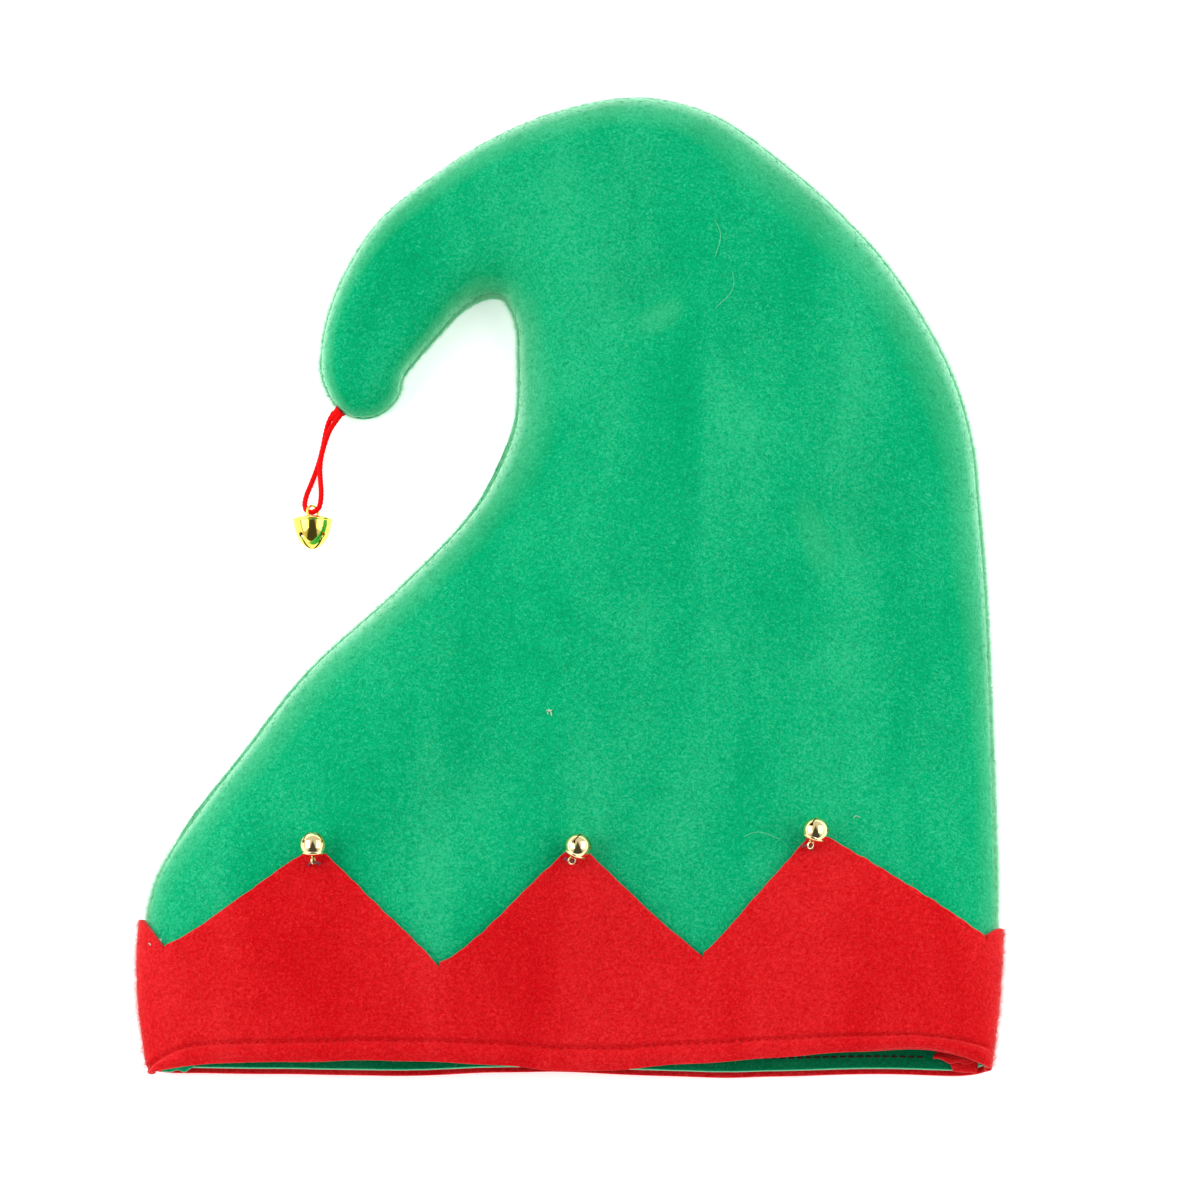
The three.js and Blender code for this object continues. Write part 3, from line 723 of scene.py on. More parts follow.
def felt_material(name, dark, middle, light, pale, pale_most, sheen):
    """Brushed felt: a fine speckle of short fibres, stronger where the nap stands up, with a pale
    sheen painted into the base colour where it curves out of sight."""
    material, tree = new_material(name)
    nap = noise_of(tree, NAP_LENGTH, detail=2, roughness=0.5, distortion=0.5, stretch=(1.6, 0.6, 1))
    speckle = noise_of(tree, SPECKLE, detail=3, roughness=0.8, distortion=0.8)
    middle_place = 0.5 + 0.5 * NAP_SHARE
    stops = [(middle_place - 0.14, dark), (middle_place, middle), (middle_place + 0.15, light)]
    felt = ramp_of(tree, sum_of(tree, speckle, nap, NAP_SHARE), stops)
    # Painted sheen: the pale colour is mixed into the base colour where the felt faces away from the view
    mix = {0: rim_sheen(tree, pale_most), 6: felt, 7: (*pale, 1)}
    height = sum_of(tree, speckle, noise_of(tree, GRAIN, detail=1), 0.6)
    add_surface(tree, {
        "Base Color": add_node(tree, "Mix", mix, 2, data_type="RGBA"),
        "Normal": bump_from(tree, height, 0.0004, 0.8),
        "Roughness": 1.0,
        "Specular IOR Level": 0.03,
        "Sheen Weight": sheen,
        "Sheen Roughness": 0.4,
        "Sheen Tint": (*pale, 1),
    })
    return material


def thread_material(name, colour, roughness, sheen):
    """Spun thread or satin cord, with fine uneven strands."""
    material, tree = new_material(name)
    strands = noise_of(tree, GRAIN, detail=2)
    dark = tuple(0.75 * part for part in colour)
    add_surface(tree, {
        "Base Color": ramp_of(tree, strands, [(0.35, dark), (0.6, colour)]),
        "Normal": bump_from(tree, strands, 0.0001, 0.6),
        "Roughness": roughness,
        "Specular IOR Level": 0.1,
        "Sheen Weight": sheen,
    })
    return material


def gold_material(name, colour, shade):
    """Polished plating, with faint uneven tarnish."""
    material, tree = new_material(name)
    tarnish = noise_of(tree, 0.004, detail=3)
    wear = noise_of(tree, 0.0012, detail=2)
    add_surface(tree, {
        "Base Color": ramp_of(tree, tarnish, [(0.35, shade), (0.6, colour)]),
        "Normal": bump_from(tree, wear, 0.00002, 0.4),
        "Roughness": add_node(tree, "MapRange", {"Value": wear, "To Min": 0.05, "To Max": 0.16}),
        "Metallic": 1,
    })
    return material


# Linear colours
GREEN_DARK = (0.0, 0.335, 0.122)
GREEN = (0.001, 0.425, 0.170)
GREEN_LIGHT = (0.036, 0.510, 0.235)
# GREEN_PALE and RED_PALE: the painted sheen mixed into the base colour at grazing faces, and the tint of the
# shader's own sheen
GREEN_PALE = (0.48, 0.92, 0.64)
GREEN_FIBRE = (0.002, 0.480, 0.205)
# Painted glow: pale green for the fibres along the felt's sides, standing in for light through the fuzz
GREEN_PAINTED_GLOW_FIBRE = (0.36, 0.88, 0.56)
# Painted shade: darker greens for the back panel's inner face, standing in for the shade inside the hollow
SHADED_HOLLOW_DARK = (0.0, 0.150, 0.056)
SHADED_HOLLOW = (0.002, 0.200, 0.080)
SHADED_HOLLOW_LIGHT = (0.012, 0.250, 0.110)
RED_DARK = (0.570, 0.002, 0.005)
RED = (0.680, 0.009, 0.013)
RED_LIGHT = (0.790, 0.026, 0.030)
RED_PALE = (0.95, 0.20, 0.19)
RED_FIBRE = (0.780, 0.014, 0.018)
# Painted glow: pale red for the fibres along the band's sides, standing in for light through the fuzz
RED_PAINTED_GLOW_FIBRE = (0.90, 0.14, 0.13)

felt_green = felt_material("felt_green", GREEN_DARK, GREEN, GREEN_LIGHT, GREEN_PALE, 1.0, 0.0)
# Painted shade of the hollow, as a darker felt without sheen
felt_painted_hollow_shade = felt_material("felt_painted_hollow_shade", SHADED_HOLLOW_DARK, SHADED_HOLLOW, SHADED_HOLLOW_LIGHT, SHADED_HOLLOW_LIGHT, 0.0, 0.0)
felt_red = felt_material("felt_red", RED_DARK, RED, RED_LIGHT, RED_PALE, 0.45, 0.02)
fibre_green = thread_material("fibre_green", GREEN_FIBRE, 0.9, 0.05)
fibre_red = thread_material("fibre_red", RED_FIBRE, 0.9, 0.05)
# Side fibres whose pale colour is painted glow of light through the fuzz
painted_glow_fibre_green = thread_material("painted_glow_fibre_green", GREEN_PAINTED_GLOW_FIBRE, 0.9, 0.2)
painted_glow_fibre_red = thread_material("painted_glow_fibre_red", RED_PAINTED_GLOW_FIBRE, 0.9, 0.2)
hair_green = thread_material("hair_green", (0.22, 0.62, 0.40), 0.9, 0.1)
hair_pale = thread_material("hair_pale", (0.62, 0.70, 0.56), 0.9, 0.1)
cord_red = thread_material("cord_red", (0.90, 0.002, 0.002), 0.8, 0.0)
thread_red = thread_material("thread_red", (0.42, 0.004, 0.008), 0.7, 0.0)
thread_brown = thread_material("thread_brown", (0.050, 0.018, 0.012), 0.7, 0.0)
thread_purple = thread_material("thread_purple", (0.200, 0.050, 0.070), 0.7, 0.1)
bell_gold = gold_material("bell_gold", (0.93, 0.78, 0.42), (0.82, 0.62, 0.28))
tip_gold = gold_material("tip_gold", (0.95, 0.76, 0.16), (0.85, 0.62, 0.10))


# Cord

CORD_SIDES = 18
CORD_ROWS = 320
CORD_PLIES = 3
CORD_RELIEF = 0.06
CORD_TWIST_LENGTH = 0.0045


def lengths_along(line):
    steps = np.linalg.norm(np.diff(line, axis=0), axis=1)
    return np.concatenate([[0], np.cumsum(steps)])


def smooth_route(points, count):
    """Smooth line through the points, at even steps of its length."""
    line = curve_through(np.array(points), np.linspace(0, len(points) - 1, count * 4))
    length = lengths_along(line)
    even = np.linspace(0, length[-1], count)
    return np.stack([np.interp(even, length, line[:, k]) for k in range(3)], axis=-1), length[-1]


def sides_along(line):
    """Two directions across a line at each of its points, without twist."""
    tangent = unit(np.gradient(line, axis=0))
    side = np.zeros_like(line)
    guess = np.array([0.0, 0.0, 1.0])
    for i, ahead in enumerate(tangent):
        guess = guess - ahead * (guess @ ahead)
        guess = guess / np.linalg.norm(guess)
        side[i] = guess
    return side, np.cross(tangent, side)


def tube(name, line, radius_at, material, sides):
    """Closed tube along a line. radius_at takes the angle and the length along the line."""
    side, other = sides_along(line)
    angle = np.linspace(0, 2 * math.pi, sides, endpoint=False)
    radius = radius_at(angle[None, :], lengths_along(line)[:, None])[..., None]
    turn_to = side[:, None] * np.cos(angle)[None, :, None] + other[:, None] * np.sin(angle)[None, :, None]
    index = grid_of(len(line), sides)
    faces = ring_quads(index).tolist() + [index[0].tolist(), index[-1][::-1].tolist()]
    return closed_object(name, line[:, None] + radius * turn_to, faces, material)


def even(radius):
    """The same radius all along a tube."""
    return lambda angle, away: radius + 0 * (angle + away)


def cord_radius(angle, away):
    turn = CORD_PLIES * (angle - 2 * math.pi * away / CORD_TWIST_LENGTH)
    return CORD_DIAMETER / 2 * (1 - CORD_RELIEF / 2 + CORD_RELIEF * np.cos(turn))


def add_cord():
    line, length = smooth_route(CORD_ROUTE, CORD_ROWS)
    item = tube("satin_cord", line, cord_radius, cord_red, CORD_SIDES)
    return item, line, length


def cord_end():
    """The bound ends of the cord, which widen into the seam."""
    line, length = smooth_route([CORD_END_FROM, CORD_END_TO], CORD_END_ROWS)
    low, high = CORD_END_RADII

    def radius_at(angle, away):
        share = away / length
        flare = low * np.sqrt(smooth_step(share, -0.3, 0.3)) + (high - low) * share ** 1.5
        return flare * (1 + CORD_END_RELIEF * np.cos(CORD_END_RIDGES * angle + 3 * share))

    return tube("cord_end", line, radius_at, cord_red, CORD_SIDES)


# Bells

HOLE_SHARE = 0.55
HOLE_TO_SLOT = 2.4
SLOT_TURNS = (math.pi / 4, -math.pi / 4)
BELL_SHARP = math.radians(35)
LATHE_SIDES = 72
ROD_SIDES = 24
LOOP_STEPS = 40
WIRE_STEPS = 12


def loop_reach_of(form):
    """How far the loop's middle lies from the flange's."""
    return form["radius"] * form["cap_share"] + form["loop_height"] / 2 * (1 - form["loop_sink_share"])


def cup_reach(form, turn):
    """How far a bell's cup reaches out at one turn round it, as a share of its radius."""
    return math.sqrt(max(0.0, 1 - abs(math.sin(turn)) ** form["fullness"]))


def cup_height(form, radius):
    return radius * form["cup_share"] * (1 - math.sin(form["flange_turn"]))


def lathe(name, profile, material):
    """Turned solid whose profile starts and ends on the axis."""
    angle = np.linspace(0, 2 * math.pi, LATHE_SIDES, endpoint=False)
    profile = np.array(profile)
    reach, level = profile[:, :1], profile[:, 1:]
    points = np.stack([reach * np.cos(angle), reach * np.sin(angle), level + 0 * angle], axis=-1)
    return closed_object(name, points, ring_quads(grid_of(len(profile), LATHE_SIDES)), material)


CAP_STEPS = 14
CUP_STEPS = 30
FLANGE_THICKNESS = 0.7
FLANGE_FLAT = 0.8


def bell_profile(form, radius, flange):
    """Half of a bell's outline: a shallow cap and a deep cup that meet at a thin flange."""
    low = form["flange_turn"]
    neck = radius * cup_reach(form, low)
    cap = radius * form["cap_share"]
    turns = [i / CAP_STEPS * math.pi / 2 for i in range(CAP_STEPS)]
    rows = [(neck * math.sin(t), -cap * math.cos(t)) for t in turns]
    if flange:
        thick, flat = flange * FLANGE_THICKNESS, neck + flange * FLANGE_FLAT
        rows += [(neck, -thick), (flat, -thick), (neck + flange, -thick / 2)]
        rows += [(neck + flange, thick / 2), (flat, thick)]
    else:
        rows += [(neck, 0)]
    for i in range(1, CUP_STEPS + 1):
        turn = low + i / CUP_STEPS * (math.pi / 2 - low)
        level = radius * form["cup_share"] * (math.sin(turn) - math.sin(low))
        if level > flange * FLANGE_FLAT:
            rows.append((radius * cup_reach(form, turn), level))
    return rows


def cut_away(item, cutter):
    """Subtracts one solid from another and removes the cutter."""
    modifier = item.modifiers.new("cut", "BOOLEAN")
    modifier.operation = "DIFFERENCE"
    modifier.solver = "EXACT"
    modifier.object = cutter
    bpy.context.view_layer.update()
    cut = bpy.data.meshes.new_from_object(item.evaluated_get(bpy.context.evaluated_depsgraph_get()))
    item.modifiers.remove(modifier)
    item.data = cut
    bpy.data.objects.remove(cutter)


def box_cutter(length, width, low, high, turn):
    work = bmesh.new()
    bmesh.ops.create_cube(work, size=1)
    bmesh.ops.scale(work, vec=(length, width, high - low), verts=work.verts)
    return cutter_object(work, turn, (high + low) / 2)


def rod_cutter(radius, length, level, turn):
    work = bmesh.new()
    bmesh.ops.create_cone(
        work, cap_ends=True, segments=ROD_SIDES, radius1=radius, radius2=radius, depth=length,
    )
    bmesh.ops.rotate(work, matrix=Matrix.Rotation(math.pi / 2, 3, "Y"), verts=work.verts)
    return cutter_object(work, turn, level)


def cutter_object(work, turn, level):
    bmesh.ops.rotate(work, matrix=Matrix.Rotation(turn, 3, "Z"), verts=work.verts)
    bmesh.ops.translate(work, vec=(0, 0, level), verts=work.verts)
    mesh = bpy.data.meshes.new("cutter")
    work.to_mesh(mesh)
    work.free()
    return link_object("cutter", mesh)


def wire_loop(height, width_share, wire, turn, level):
    """Points and faces of a wire ring that stands on edge below a level."""
    around = np.linspace(0, 2 * math.pi, LOOP_STEPS, endpoint=False)[:, None]
    about = np.linspace(0, 2 * math.pi, WIRE_STEPS, endpoint=False)[None, :]
    reach = height / 2 - wire / 2 + wire / 2 * np.cos(about)
    depth = wire / 2 * np.sin(about) + 0 * around
    ring = np.stack([width_share * reach * np.cos(around), depth, reach * np.sin(around)], -1)
    spin = np.array(Matrix.Rotation(turn, 3, "Z"))
    points = ring.reshape(-1, 3) @ spin.T + [0, 0, level]
    index = grid_of(LOOP_STEPS, WIRE_STEPS)
    return points, ring_quads(np.vstack([index, index[:1]]))


def jingle_bell(name, form, loop_turn, material):
    """Hollow bell: slotted cup up +Z, cap and loop down -Z, flange's middle at the origin."""
    radius, slot = form["radius"], form["slot"]
    item = lathe(name, bell_profile(form, radius, form["flange"]), material)
    cut_away(item, lathe("hollow", bell_profile(form, radius - form["metal"], 0), material))
    top = cup_height(form, radius)
    hole_level = HOLE_SHARE * top
    for turn in SLOT_TURNS:
        cut_away(item, box_cutter(3 * radius, slot, hole_level, top + slot, turn))
        cut_away(item, rod_cutter(slot * HOLE_TO_SLOT / 2, 3 * radius, hole_level, turn))
    points, faces = wire_loop(
        form["loop_height"], form["loop_width_share"], form["wire"], loop_turn, -loop_reach_of(form),
    )
    loop = closed_object("loop", points, faces, material)
    work = bmesh.new()
    work.from_mesh(item.data)
    work.from_mesh(loop.data)
    work.to_mesh(item.data)
    work.free()
    bpy.data.objects.remove(loop)
    item.data.polygons.foreach_set("use_smooth", [True] * len(item.data.polygons))
    item.data.set_sharp_from_angle(angle=BELL_SHARP)
    return item


def settle(item, turn, place):
    """Bakes a turn and a place into a mesh."""
    item.data.transform(Matrix.Translation(place) @ turn.to_matrix().to_4x4())
    item.data.update()
    return item


def small_bell(name, corner, turn, loop_turn, step_share):
    """A bell on a peak of the band, and the thread that holds its loop."""
    x_share, rise = ZIGZAG[corner][:2]
    run = (rise * BAND_HEIGHT - BELL_BELOW_PEAK) / ROW_LENGTH
    section = section_at(np.array(run))
    share = (x_share * HAT_WIDTH + step_share * BELL_DIAMETER - section["middle"][0]) / section["half"][0]
    across = math.asin(share) / (math.pi / 2)
    place, normal = panel_points(FRONT, np.array(across), np.array(run), np.array(0.0))
    place, normal = Vector(place), Vector(normal)
    up_hat = (Vector((0, 1, 0)) - normal * normal.y).normalized()
    up_hat.rotate(Quaternion(normal, turn))
    direction = up_hat * math.cos(BELL_LEAN) + normal * math.sin(BELL_LEAN)
    item = jingle_bell("gold_" + name, BELL, loop_turn, bell_gold)
    height = LAYER_GAP + BELL["radius"] * math.cos(BELL_LEAN)
    middle = place + normal * (BAND_STANDOFF + height)
    settle(item, Vector((0, 0, 1)).rotation_difference(direction), middle)
    loop = middle - direction * loop_reach_of(BELL)
    thread = bell_thread("thread_" + name, loop, normal, direction.cross(normal), direction, height)
    return item, thread


THREAD_RADIUS = 0.00026
THREAD_TURNS = (0.0, 0.0004)
THREAD_ROWS = 60
# Columns: aside of the loop, in metres; up from the loop's middle, as a share of its height above
# the felt and in metres
THREAD_PATH = [
    [-0.0020, -1.0, 0.0],
    [-0.0013, -0.4, 0.0],
    [0.0, 0.0, 0.0004],
    [0.0010, -0.5, 0.0],
    [0.0014, -1.0, 0.0],
]


def bell_thread(name, loop, normal, side, direction, height):
    """Sewing thread out of the felt, through a bell's loop and back into the felt, twice."""
    points = []
    for step in THREAD_TURNS:
        for aside, share, more in THREAD_PATH:
            up = share * height + more
            points.append(loop + side * aside + normal * up - direction * (step + 0.1 * abs(aside)))
    line, _ = smooth_route([list(point) for point in points], THREAD_ROWS)
    return tube(name, line, even(THREAD_RADIUS), thread_purple, 8)


def tip_bell():
    ring_point = Vector(RING_POINT)
    height = TIP_BELL_DIAMETER / 2 + FLOOR_GAP
    reach = loop_reach_of(TIP_BELL)
    lean = math.asin((height - ring_point.z) / reach)
    direction = Vector((0, -math.cos(lean), math.sin(lean)))
    item = jingle_bell("gold_tip_bell", TIP_BELL, TIP_RING_TURN, tip_gold)
    turn = Vector((0, 0, 1)).rotation_difference(direction)
    return settle(item, turn, ring_point + direction * reach)


# Fuzz: short fibres that stand out of the felt

ROOT_SHARE = 0.12


def grid_places(grid, count, random):
    """Random places on a grid's surface, evenly spread, with their normals."""
    corner = grid[:-1, :-1].reshape(-1, 3)
    right = (grid[:-1, 1:] - grid[:-1, :-1]).reshape(-1, 3)
    ahead = (grid[1:, :-1] - grid[:-1, :-1]).reshape(-1, 3)
    cross = np.cross(right, ahead)
    area = np.linalg.norm(cross, axis=1)
    chosen = random.choice(len(area), count, p=area / area.sum())
    u, v = random.random((2, count, 1))
    place = corner[chosen] + u * right[chosen] + v * ahead[chosen]
    return place, unit(cross[chosen])


def fuzz(name, grid, panel, count, form, material, seed):
    """Short tapered fibres rooted in a felt face, each a closed three-sided spike."""
    width = form["width"]
    random = np.random.default_rng(seed)
    place, normal = grid_places(grid, count, random)
    place[:, 2] = np.maximum(place[:, 2], width + FLOOR_GAP)
    normal = normal * panel
    side = unit(np.cross(normal, unit(random.normal(size=(count, 3)))))
    lift = random.uniform(*form["rise"], (count, 1))
    reach = random.uniform(*form["length"], (count, 1))
    direction = unit(side + lift * normal)
    tip = place + direction * reach
    tip[:, 2] = np.maximum(tip[:, 2], FLOOR_GAP)
    first = unit(np.cross(direction, normal))
    second = np.cross(direction, first)
    root = place - direction * reach * ROOT_SHARE
    root[:, 2] = np.maximum(root[:, 2], width + FLOOR_GAP)
    corners = [
        root + width * (math.cos(t) * first + math.sin(t) * second) / 2
        for t in (0, 2 * math.pi / 3, 4 * math.pi / 3)
    ]
    points = np.stack([*corners, tip], axis=1).reshape(-1, 3)
    start = np.arange(count)[:, None] * 4
    faces = np.concatenate([start + np.array(f) for f in ([0, 1, 2], [0, 3, 1], [1, 3, 2], [2, 3, 0])])
    return mesh_object(name, points.tolist(), faces.tolist(), material)


# Stitches, seam ends, hairs and lint

STITCH_RINGS = 7
STITCH_SIDES = 7
STITCH_ARCH = 1.1
STITCH_SINK = 0.9
STITCH_END_SHARE = 0.35
STITCH_RUN = 0.2
HEM_STITCH_SIZE = (0.0022, 0.0004)
LINING_STITCH_SIZE = (0.0029, 0.0008)
HEM_STITCH_PITCH = 0.0028
LINING_STITCH_AWAY = 0.0052


def stitches(name, place, along, normal, length, width, material):
    """Row of short threads that arch out of the felt and dip back into it."""
    part = np.linspace(0, 1, STITCH_RINGS)[None, :, None, None]
    turn = np.linspace(0, 2 * math.pi, STITCH_SIDES, endpoint=False)[None, None, :, None]
    place, along, normal = (item[:, None, None, :] for item in (place, unit(along), normal))
    across = np.cross(along, normal)
    arch = width * (STITCH_ARCH * np.sin(math.pi * part) - STITCH_SINK)
    middle = place + along * length * (part - 0.5) + normal * arch
    swell = np.sin(math.pi * part) ** 0.5
    radius = width / 2 * (STITCH_END_SHARE + (1 - STITCH_END_SHARE) * swell)
    points = middle + radius * (normal * np.cos(turn) + across * np.sin(turn))
    count = len(place)
    faces = []
    for rings in grid_of(count * STITCH_RINGS, STITCH_SIDES).reshape(count, STITCH_RINGS, -1):
        faces += ring_quads(rings).tolist() + [rings[0].tolist(), rings[-1][::-1].tolist()]
    return closed_object(name, points, faces, material)


def places_across(low, high, pitch):
    """Places across a panel at even steps of x, between two shares of the width."""
    x = np.arange(low * HAT_WIDTH, high * HAT_WIDTH, pitch)
    section = section_at(np.full_like(x, STITCH_RUN))
    share = (x - section["middle"][:, 0]) / section["half"][:, 0]
    return x, np.arcsin(np.clip(share, -1, 1)) / (math.pi / 2)


def back_across(x):
    """Places across the back panel whose x is this, by halving."""
    low, high = np.full_like(x, -1.0), np.full_like(x, 1.0)
    for _ in range(30):
        middle = (low + high) / 2
        beyond = back_base(middle, np.full_like(x, STITCH_RUN))[:, 0] > x
        low, high = np.where(beyond, low, middle), np.where(beyond, middle, high)
    return (low + high) / 2


def hem_stitches():
    """The row that holds the front hem, sunk in its groove."""
    _, across = places_across(-0.44, 0.44, HEM_STITCH_PITCH)
    away = stitch_distance(across)
    distance = BAND_STANDOFF + band_relief(across, away)
    place, normal = panel_points(FRONT, across, away / ROW_LENGTH, distance)
    along = np.gradient(place, axis=0)
    return stitches("hem_stitches", place, along, normal, *HEM_STITCH_SIZE, thread_red)


def lining_stitches():
    """The same row where it shows on the inner face of the back."""
    x, _ = places_across(-0.44, 0.41, HEM_STITCH_PITCH)
    across = back_across(x)
    run = np.full_like(x, LINING_STITCH_AWAY / ROW_LENGTH)
    place, normal = panel_points(BACK, across, run, np.full_like(x, -CROWN_FELT - 0.0001))
    along = np.gradient(place, axis=0)
    return stitches("lining_stitches", place, along, -normal, *LINING_STITCH_SIZE, thread_brown)


# Ends of the seam allowance inside the mouth's corners, a stack of cut felt edges. Columns: side,
# felt, how far the free edge lies from the seam, how far the front edge lies up from the rim, and
# height of the underside, in metres.
SEAM_LAYERS = [
    [1, "red", 0.0083, 0.0004, 0.0048],
    [1, "red", 0.0142, 0.0031, 0.0068],
    [1, "green", 0.0100, 0.0052, 0.0086],
    [-1, "green", 0.0098, 0.0004, 0.0050],
    [-1, "red", 0.0112, 0.0030, 0.0066],
]
LAYER_FELT = {"red": 0.0017, "green": 0.0012}
LAYER_LENGTH = 0.024
LAYER_COLUMNS = 22
LAYER_ROWS = 26
LAYER_RAGGED = 0.0014
LAYER_RAGGED_LENGTH = 0.0045
LAYER_SWING = 0.0012
LAYER_SWELL = 0.0005
LAYER_SWELL_LENGTH = 0.009
LAYER_SEAM_RISE = 0.0010
LAYER_FREE_EDGE = 0.55
LAYER_FRONT_EDGE = 0.6
SEAM_WALL = 0.0024


def seam_layer(side, felt, reach, setback, level, seed):
    """Points and faces of one cut layer, ragged at its free edges."""
    part = np.linspace(0, 1, LAYER_COLUMNS)
    steps = np.linspace(0, 1, LAYER_ROWS) ** 1.5
    rows = [(v, 0.0) for v in steps] + [(v, -1.0) for v in steps[::-1]]
    v, under = (np.array(item)[:, None] for item in zip(*rows))
    u = part[None, :] + 0 * v
    run = (setback + v * LAYER_LENGTH) / ROW_LENGTH
    section = section_at(run)
    edge = section["middle"][..., 0] + side * section["half"][..., 0] - side * SEAM_WALL
    ragged = waves(u * reach, v * LAYER_LENGTH, LAYER_RAGGED_LENGTH, 6, seed) * LAYER_RAGGED
    x = edge - side * u * (reach + ragged * u ** 4)
    y = section["middle"][..., 1] + ragged * (1 - v) ** 12 + LAYER_SWING * u ** 2 * (1 - v) ** 4
    swell = LAYER_SWELL * waves(u * reach, v * LAYER_LENGTH, LAYER_SWELL_LENGTH, 5, seed + 1)
    thick = LAYER_FELT[felt] * np.minimum(1, 4 * (1 - u) + LAYER_FREE_EDGE)
    thick = thick * np.minimum(1, 9 * v + LAYER_FRONT_EDGE)
    z = level + swell + LAYER_SEAM_RISE * (1 - u) ** 2 + thick * (1 + under)
    return np.stack([x, y, z], axis=-1), close_shell(len(rows), LAYER_COLUMNS)


def seam_end(name, side, felt, material):
    """All layers of one felt in one corner, as one object."""
    points, faces, start = [], [], 0
    for seed, (layer_side, layer_felt, reach, setback, level) in enumerate(SEAM_LAYERS):
        if (layer_side, layer_felt) != (side, felt):
            continue
        layer_points, layer_faces = seam_layer(side, felt, reach, setback, level, 40 + seed)
        points.append(layer_points.reshape(-1, 3))
        faces.append(layer_faces + start)
        start += len(points[-1])
    return closed_object(name, np.vstack(points), np.vstack(faces), material)


# Stray hairs and lint on the front. Columns: x and y where it starts, x and y where it ends, how
# far it bows aside and its radius, in metres; kind, which is a hair or lint on the crown or a
# speck on the band.
HAIRS = [
    [0.0486, 0.1150, 0.0500, 0.1020, 0.0014, 0.00006, "hair"],
    [0.0545, 0.0960, 0.0500, 0.0830, 0.0018, 0.00006, "hair"],
    [0.0570, -0.0960, 0.0690, -0.0955, 0.0014, 0.00006, "hair"],
    [-0.0072, -0.0548, -0.0052, -0.0562, 0.0006, 0.00016, "lint"],
    [-0.0068, -0.0562, -0.0056, -0.0546, 0.0004, 0.00014, "lint"],
    [0.0930, -0.0892, 0.0950, -0.0884, 0.0005, 0.00009, "lint"],
    [-0.1373, -0.1278, -0.1364, -0.1284, 0.0002, 0.00016, "speck"],
    [-0.1336, -0.1268, -0.1328, -0.1273, 0.0002, 0.00016, "speck"],
]


HAIR_ROWS = 24
HAIR_BOW_TURN = 1.3 * math.pi
HAIR_HEIGHT = 0.0007
HAIR_EASE_ROWS = 7


def hair(name, start_x, start_y, end_x, end_y, bow, radius, grid, material):
    """Fine fibre that lies on a felt face."""
    part = np.linspace(0, 1, HAIR_ROWS)[:, None]
    start, end = np.array([start_x, start_y]), np.array([end_x, end_y])
    ahead = end - start
    aside = np.array([-ahead[1], ahead[0]]) / np.linalg.norm(ahead)
    plan = start + part * ahead + bow * np.sin(HAIR_BOW_TURN * part) * aside
    places = grid.reshape(-1, 3)
    nearest = [np.argmin(((places[:, :2] - spot) ** 2).sum(axis=1)) for spot in plan]
    height = np.pad(places[nearest, 2] + HAIR_HEIGHT, HAIR_EASE_ROWS // 2, mode="edge")
    height = np.convolve(height, np.ones(HAIR_EASE_ROWS) / HAIR_EASE_ROWS, mode="valid")
    line = np.column_stack([plan, height])
    return tube(name, line, even(radius), material, 6)


# Light and floor

def area_light(name, place, power):
    """Soft box beside the hat, turned to it."""
    data = bpy.data.lights.new(name, "AREA")
    data.shape = "RECTANGLE"
    data.size, data.size_y = LIGHT_SIZE
    data.energy = power
    light = link_object(name, data)
    light.location = place
    light.rotation_euler = (-Vector(place)).to_track_quat("-Z", "Y").to_euler()


LIGHT_SIZE = (1.5, 1.0)
SKY_DIM = 0.07
SKY_BRIGHT = 0.80
SKY_HORIZON = 2.0
SKY_WIDEN = 0.45
SKY_EDGE = (0.14, 0.34)
HORIZON_EDGE = (0.10, 0.24)


def eased(tree, source, edge, low, high):
    """Goes smoothly from low to high between the edge's two values of the source."""
    return add_node(tree, "MapRange", {
        "Value": source, "From Min": edge[0], "From Max": edge[1], "To Min": low, "To Max": high,
    }, interpolation_type="SMOOTHSTEP")


def add_sky():
    """Pale surround, brightest low down, with a dim strip overhead that widens to the front."""
    world = bpy.data.worlds.new("studio")
    world.use_nodes = True
    tree = world.node_tree
    direction = add_node(tree, "TexCoord", {}, "Generated")
    x, y, z = add_node(tree, "SeparateXYZ", {0: direction}).node.outputs
    aside = add_node(tree, "Math", {0: x}, operation="ABSOLUTE")
    strip = eased(tree, sum_of(tree, aside, y, SKY_WIDEN), SKY_EDGE, SKY_DIM, SKY_BRIGHT)
    horizon = eased(tree, z, HORIZON_EDGE, SKY_HORIZON, 0.0)
    background = tree.nodes["Background"]
    background.inputs["Color"].default_value = (1, 1, 1, 1)
    strength = add_node(tree, "Math", {0: strip, 1: horizon}, operation="MAXIMUM")
    tree.links.new(strength, background.inputs["Strength"])
    bpy.context.scene.world = world


def add_light():
    add_sky()
    for name, x, power in (("left_box", -1.0, 11.5), ("right_box", 1.0, 9.5)):
        area_light(name, (x, 0.0, 0.9), power)
    bpy.context.scene.view_settings.view_transform = "Standard"


FLOOR_SIDE = 6.0
FLOOR_LEVEL = -0.0001


def add_floor():
    material, tree = new_material("pale_floor")
    add_surface(tree, {
        "Base Color": ramp_of(tree, noise_of(tree, 0.02), [(0.3, [0.88] * 3), (0.7, [0.90] * 3)]),
        "Roughness": 0.7,
        "Emission Color": (1, 1, 1, 1),
        "Emission Strength": 0.50,
    })
    half = FLOOR_SIDE / 2
    corners = [(x * half, y * half, FLOOR_LEVEL) for x, y in ((-1, -1), (1, -1), (1, 1), (-1, 1))]
    mesh_object("floor", corners, [(0, 1, 2, 3)], material)


# The hat

def stand_for(item, node):
    """Makes a piece ride on the hat in place of a node, whose part is hidden."""
    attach(item, "root")
    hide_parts(node)


add_camera()
add_light()
add_floor()

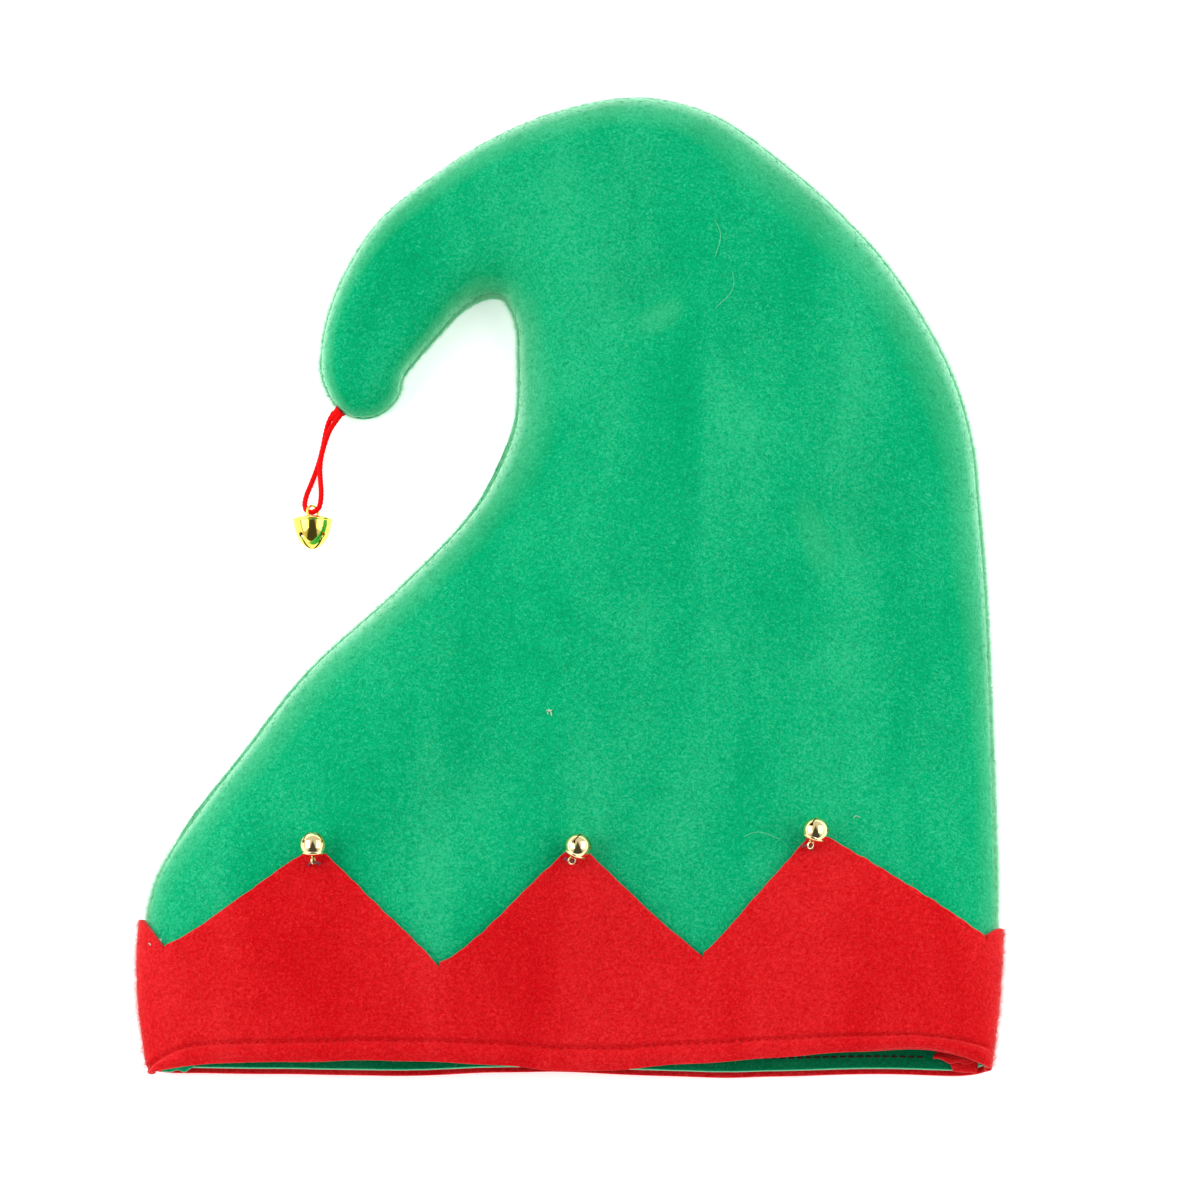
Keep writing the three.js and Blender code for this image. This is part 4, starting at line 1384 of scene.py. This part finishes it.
cord, cord_line, cord_length = add_cord()
tip = tip_bell()
stand_for(tip, "tip_bell")
stand_for(cord, "cord_loop")

crown_front, crown_front_face = crown_panel("felt_crown_front", FRONT, CROWN_MIDDLE_COLUMNS, felt_green)
crown_back, crown_back_face = crown_panel("felt_crown_back", BACK, BACK_MIDDLE_COLUMNS, felt_green)
# Painted shade on the back panel's faces that look up into the hollow
paint_hollow_shade(crown_back)
band_front, band_front_face = band_panel("felt_band_front", FRONT, felt_red)
band_back, band_back_face = band_panel("felt_band_back", BACK, felt_red)

stand_for(crown_front, "crown_front")
stand_for(crown_back, "crown_back")
stand_for(band_front, "band_front")
stand_for(band_back, "band_back")

for name, corner, turn, loop_turn, step_share in SMALL_BELLS:
    item, thread = small_bell(name, corner, turn, loop_turn, step_share)
    stand_for(item, name)
    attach(thread, "root")

for side, node in ((-1, "seam_end_left"), (1, "seam_end_right")):
    stand_for(seam_end("felt_" + node, side, "red", felt_red), node)
    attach(seam_end("green_" + node, side, "green", felt_green), "root")

for item in (cord_end(), hem_stitches(), lining_stitches()):
    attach(item, "root")
for number, (*form, kind) in enumerate(HAIRS):
    face = band_front_face if kind == "speck" else crown_front_face
    material = hair_green if kind == "hair" else hair_pale
    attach(hair(kind + "_" + str(number), *form, face, material), "root")

# Fibres all over each felt face, and longer pale ones along its two sides, whose pale colour is a
# painted glow of light through the fuzz at the outline. Ranges of length in metres and of slope out of the
# felt.
FUZZ = {"length": (0.0009, 0.0022), "width": 0.00015, "rise": (0.10, 0.60)}
RIM_FUZZ = {"length": (0.0012, 0.0032), "width": 0.00014, "rise": (0.20, 1.20)}
RIM_COLUMNS = CROWN_EDGE_COLUMNS + 1
FUZZ_COUNT = 36000
# Columns: sheet, its face, panel, fibres as a share of the count, share of these along each
# side, the felt's fibres and its side fibres, pale with painted glow, seed
for sheet, face, panel, share, side_share, material, painted_glow_material, seed in [
    ("crown_front", crown_front_face, FRONT, 1.0, 0.40, fibre_green, painted_glow_fibre_green, 101),
    ("crown_back", crown_back_face, BACK, 0.5, 0.40, fibre_green, painted_glow_fibre_green, 102),
    ("band_front", band_front_face, FRONT, 0.33, 0.04, fibre_red, painted_glow_fibre_red, 103),
    ("band_back", band_back_face, BACK, 0.17, 0.04, fibre_red, painted_glow_fibre_red, 104),
]:
    count = int(FUZZ_COUNT * share)
    side_count = int(count * side_share)
    pieces = [fuzz("fuzz_" + sheet, face, panel, count, FUZZ, material, seed)]
    for side, columns in (("left", slice(None, RIM_COLUMNS)), ("right", slice(-RIM_COLUMNS, None))):
        name = "fuzz_" + side + "_" + sheet
        pieces.append(fuzz(name, face[:, columns], panel, side_count, RIM_FUZZ, painted_glow_material, seed))
    for item in pieces:
        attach(item, "root")
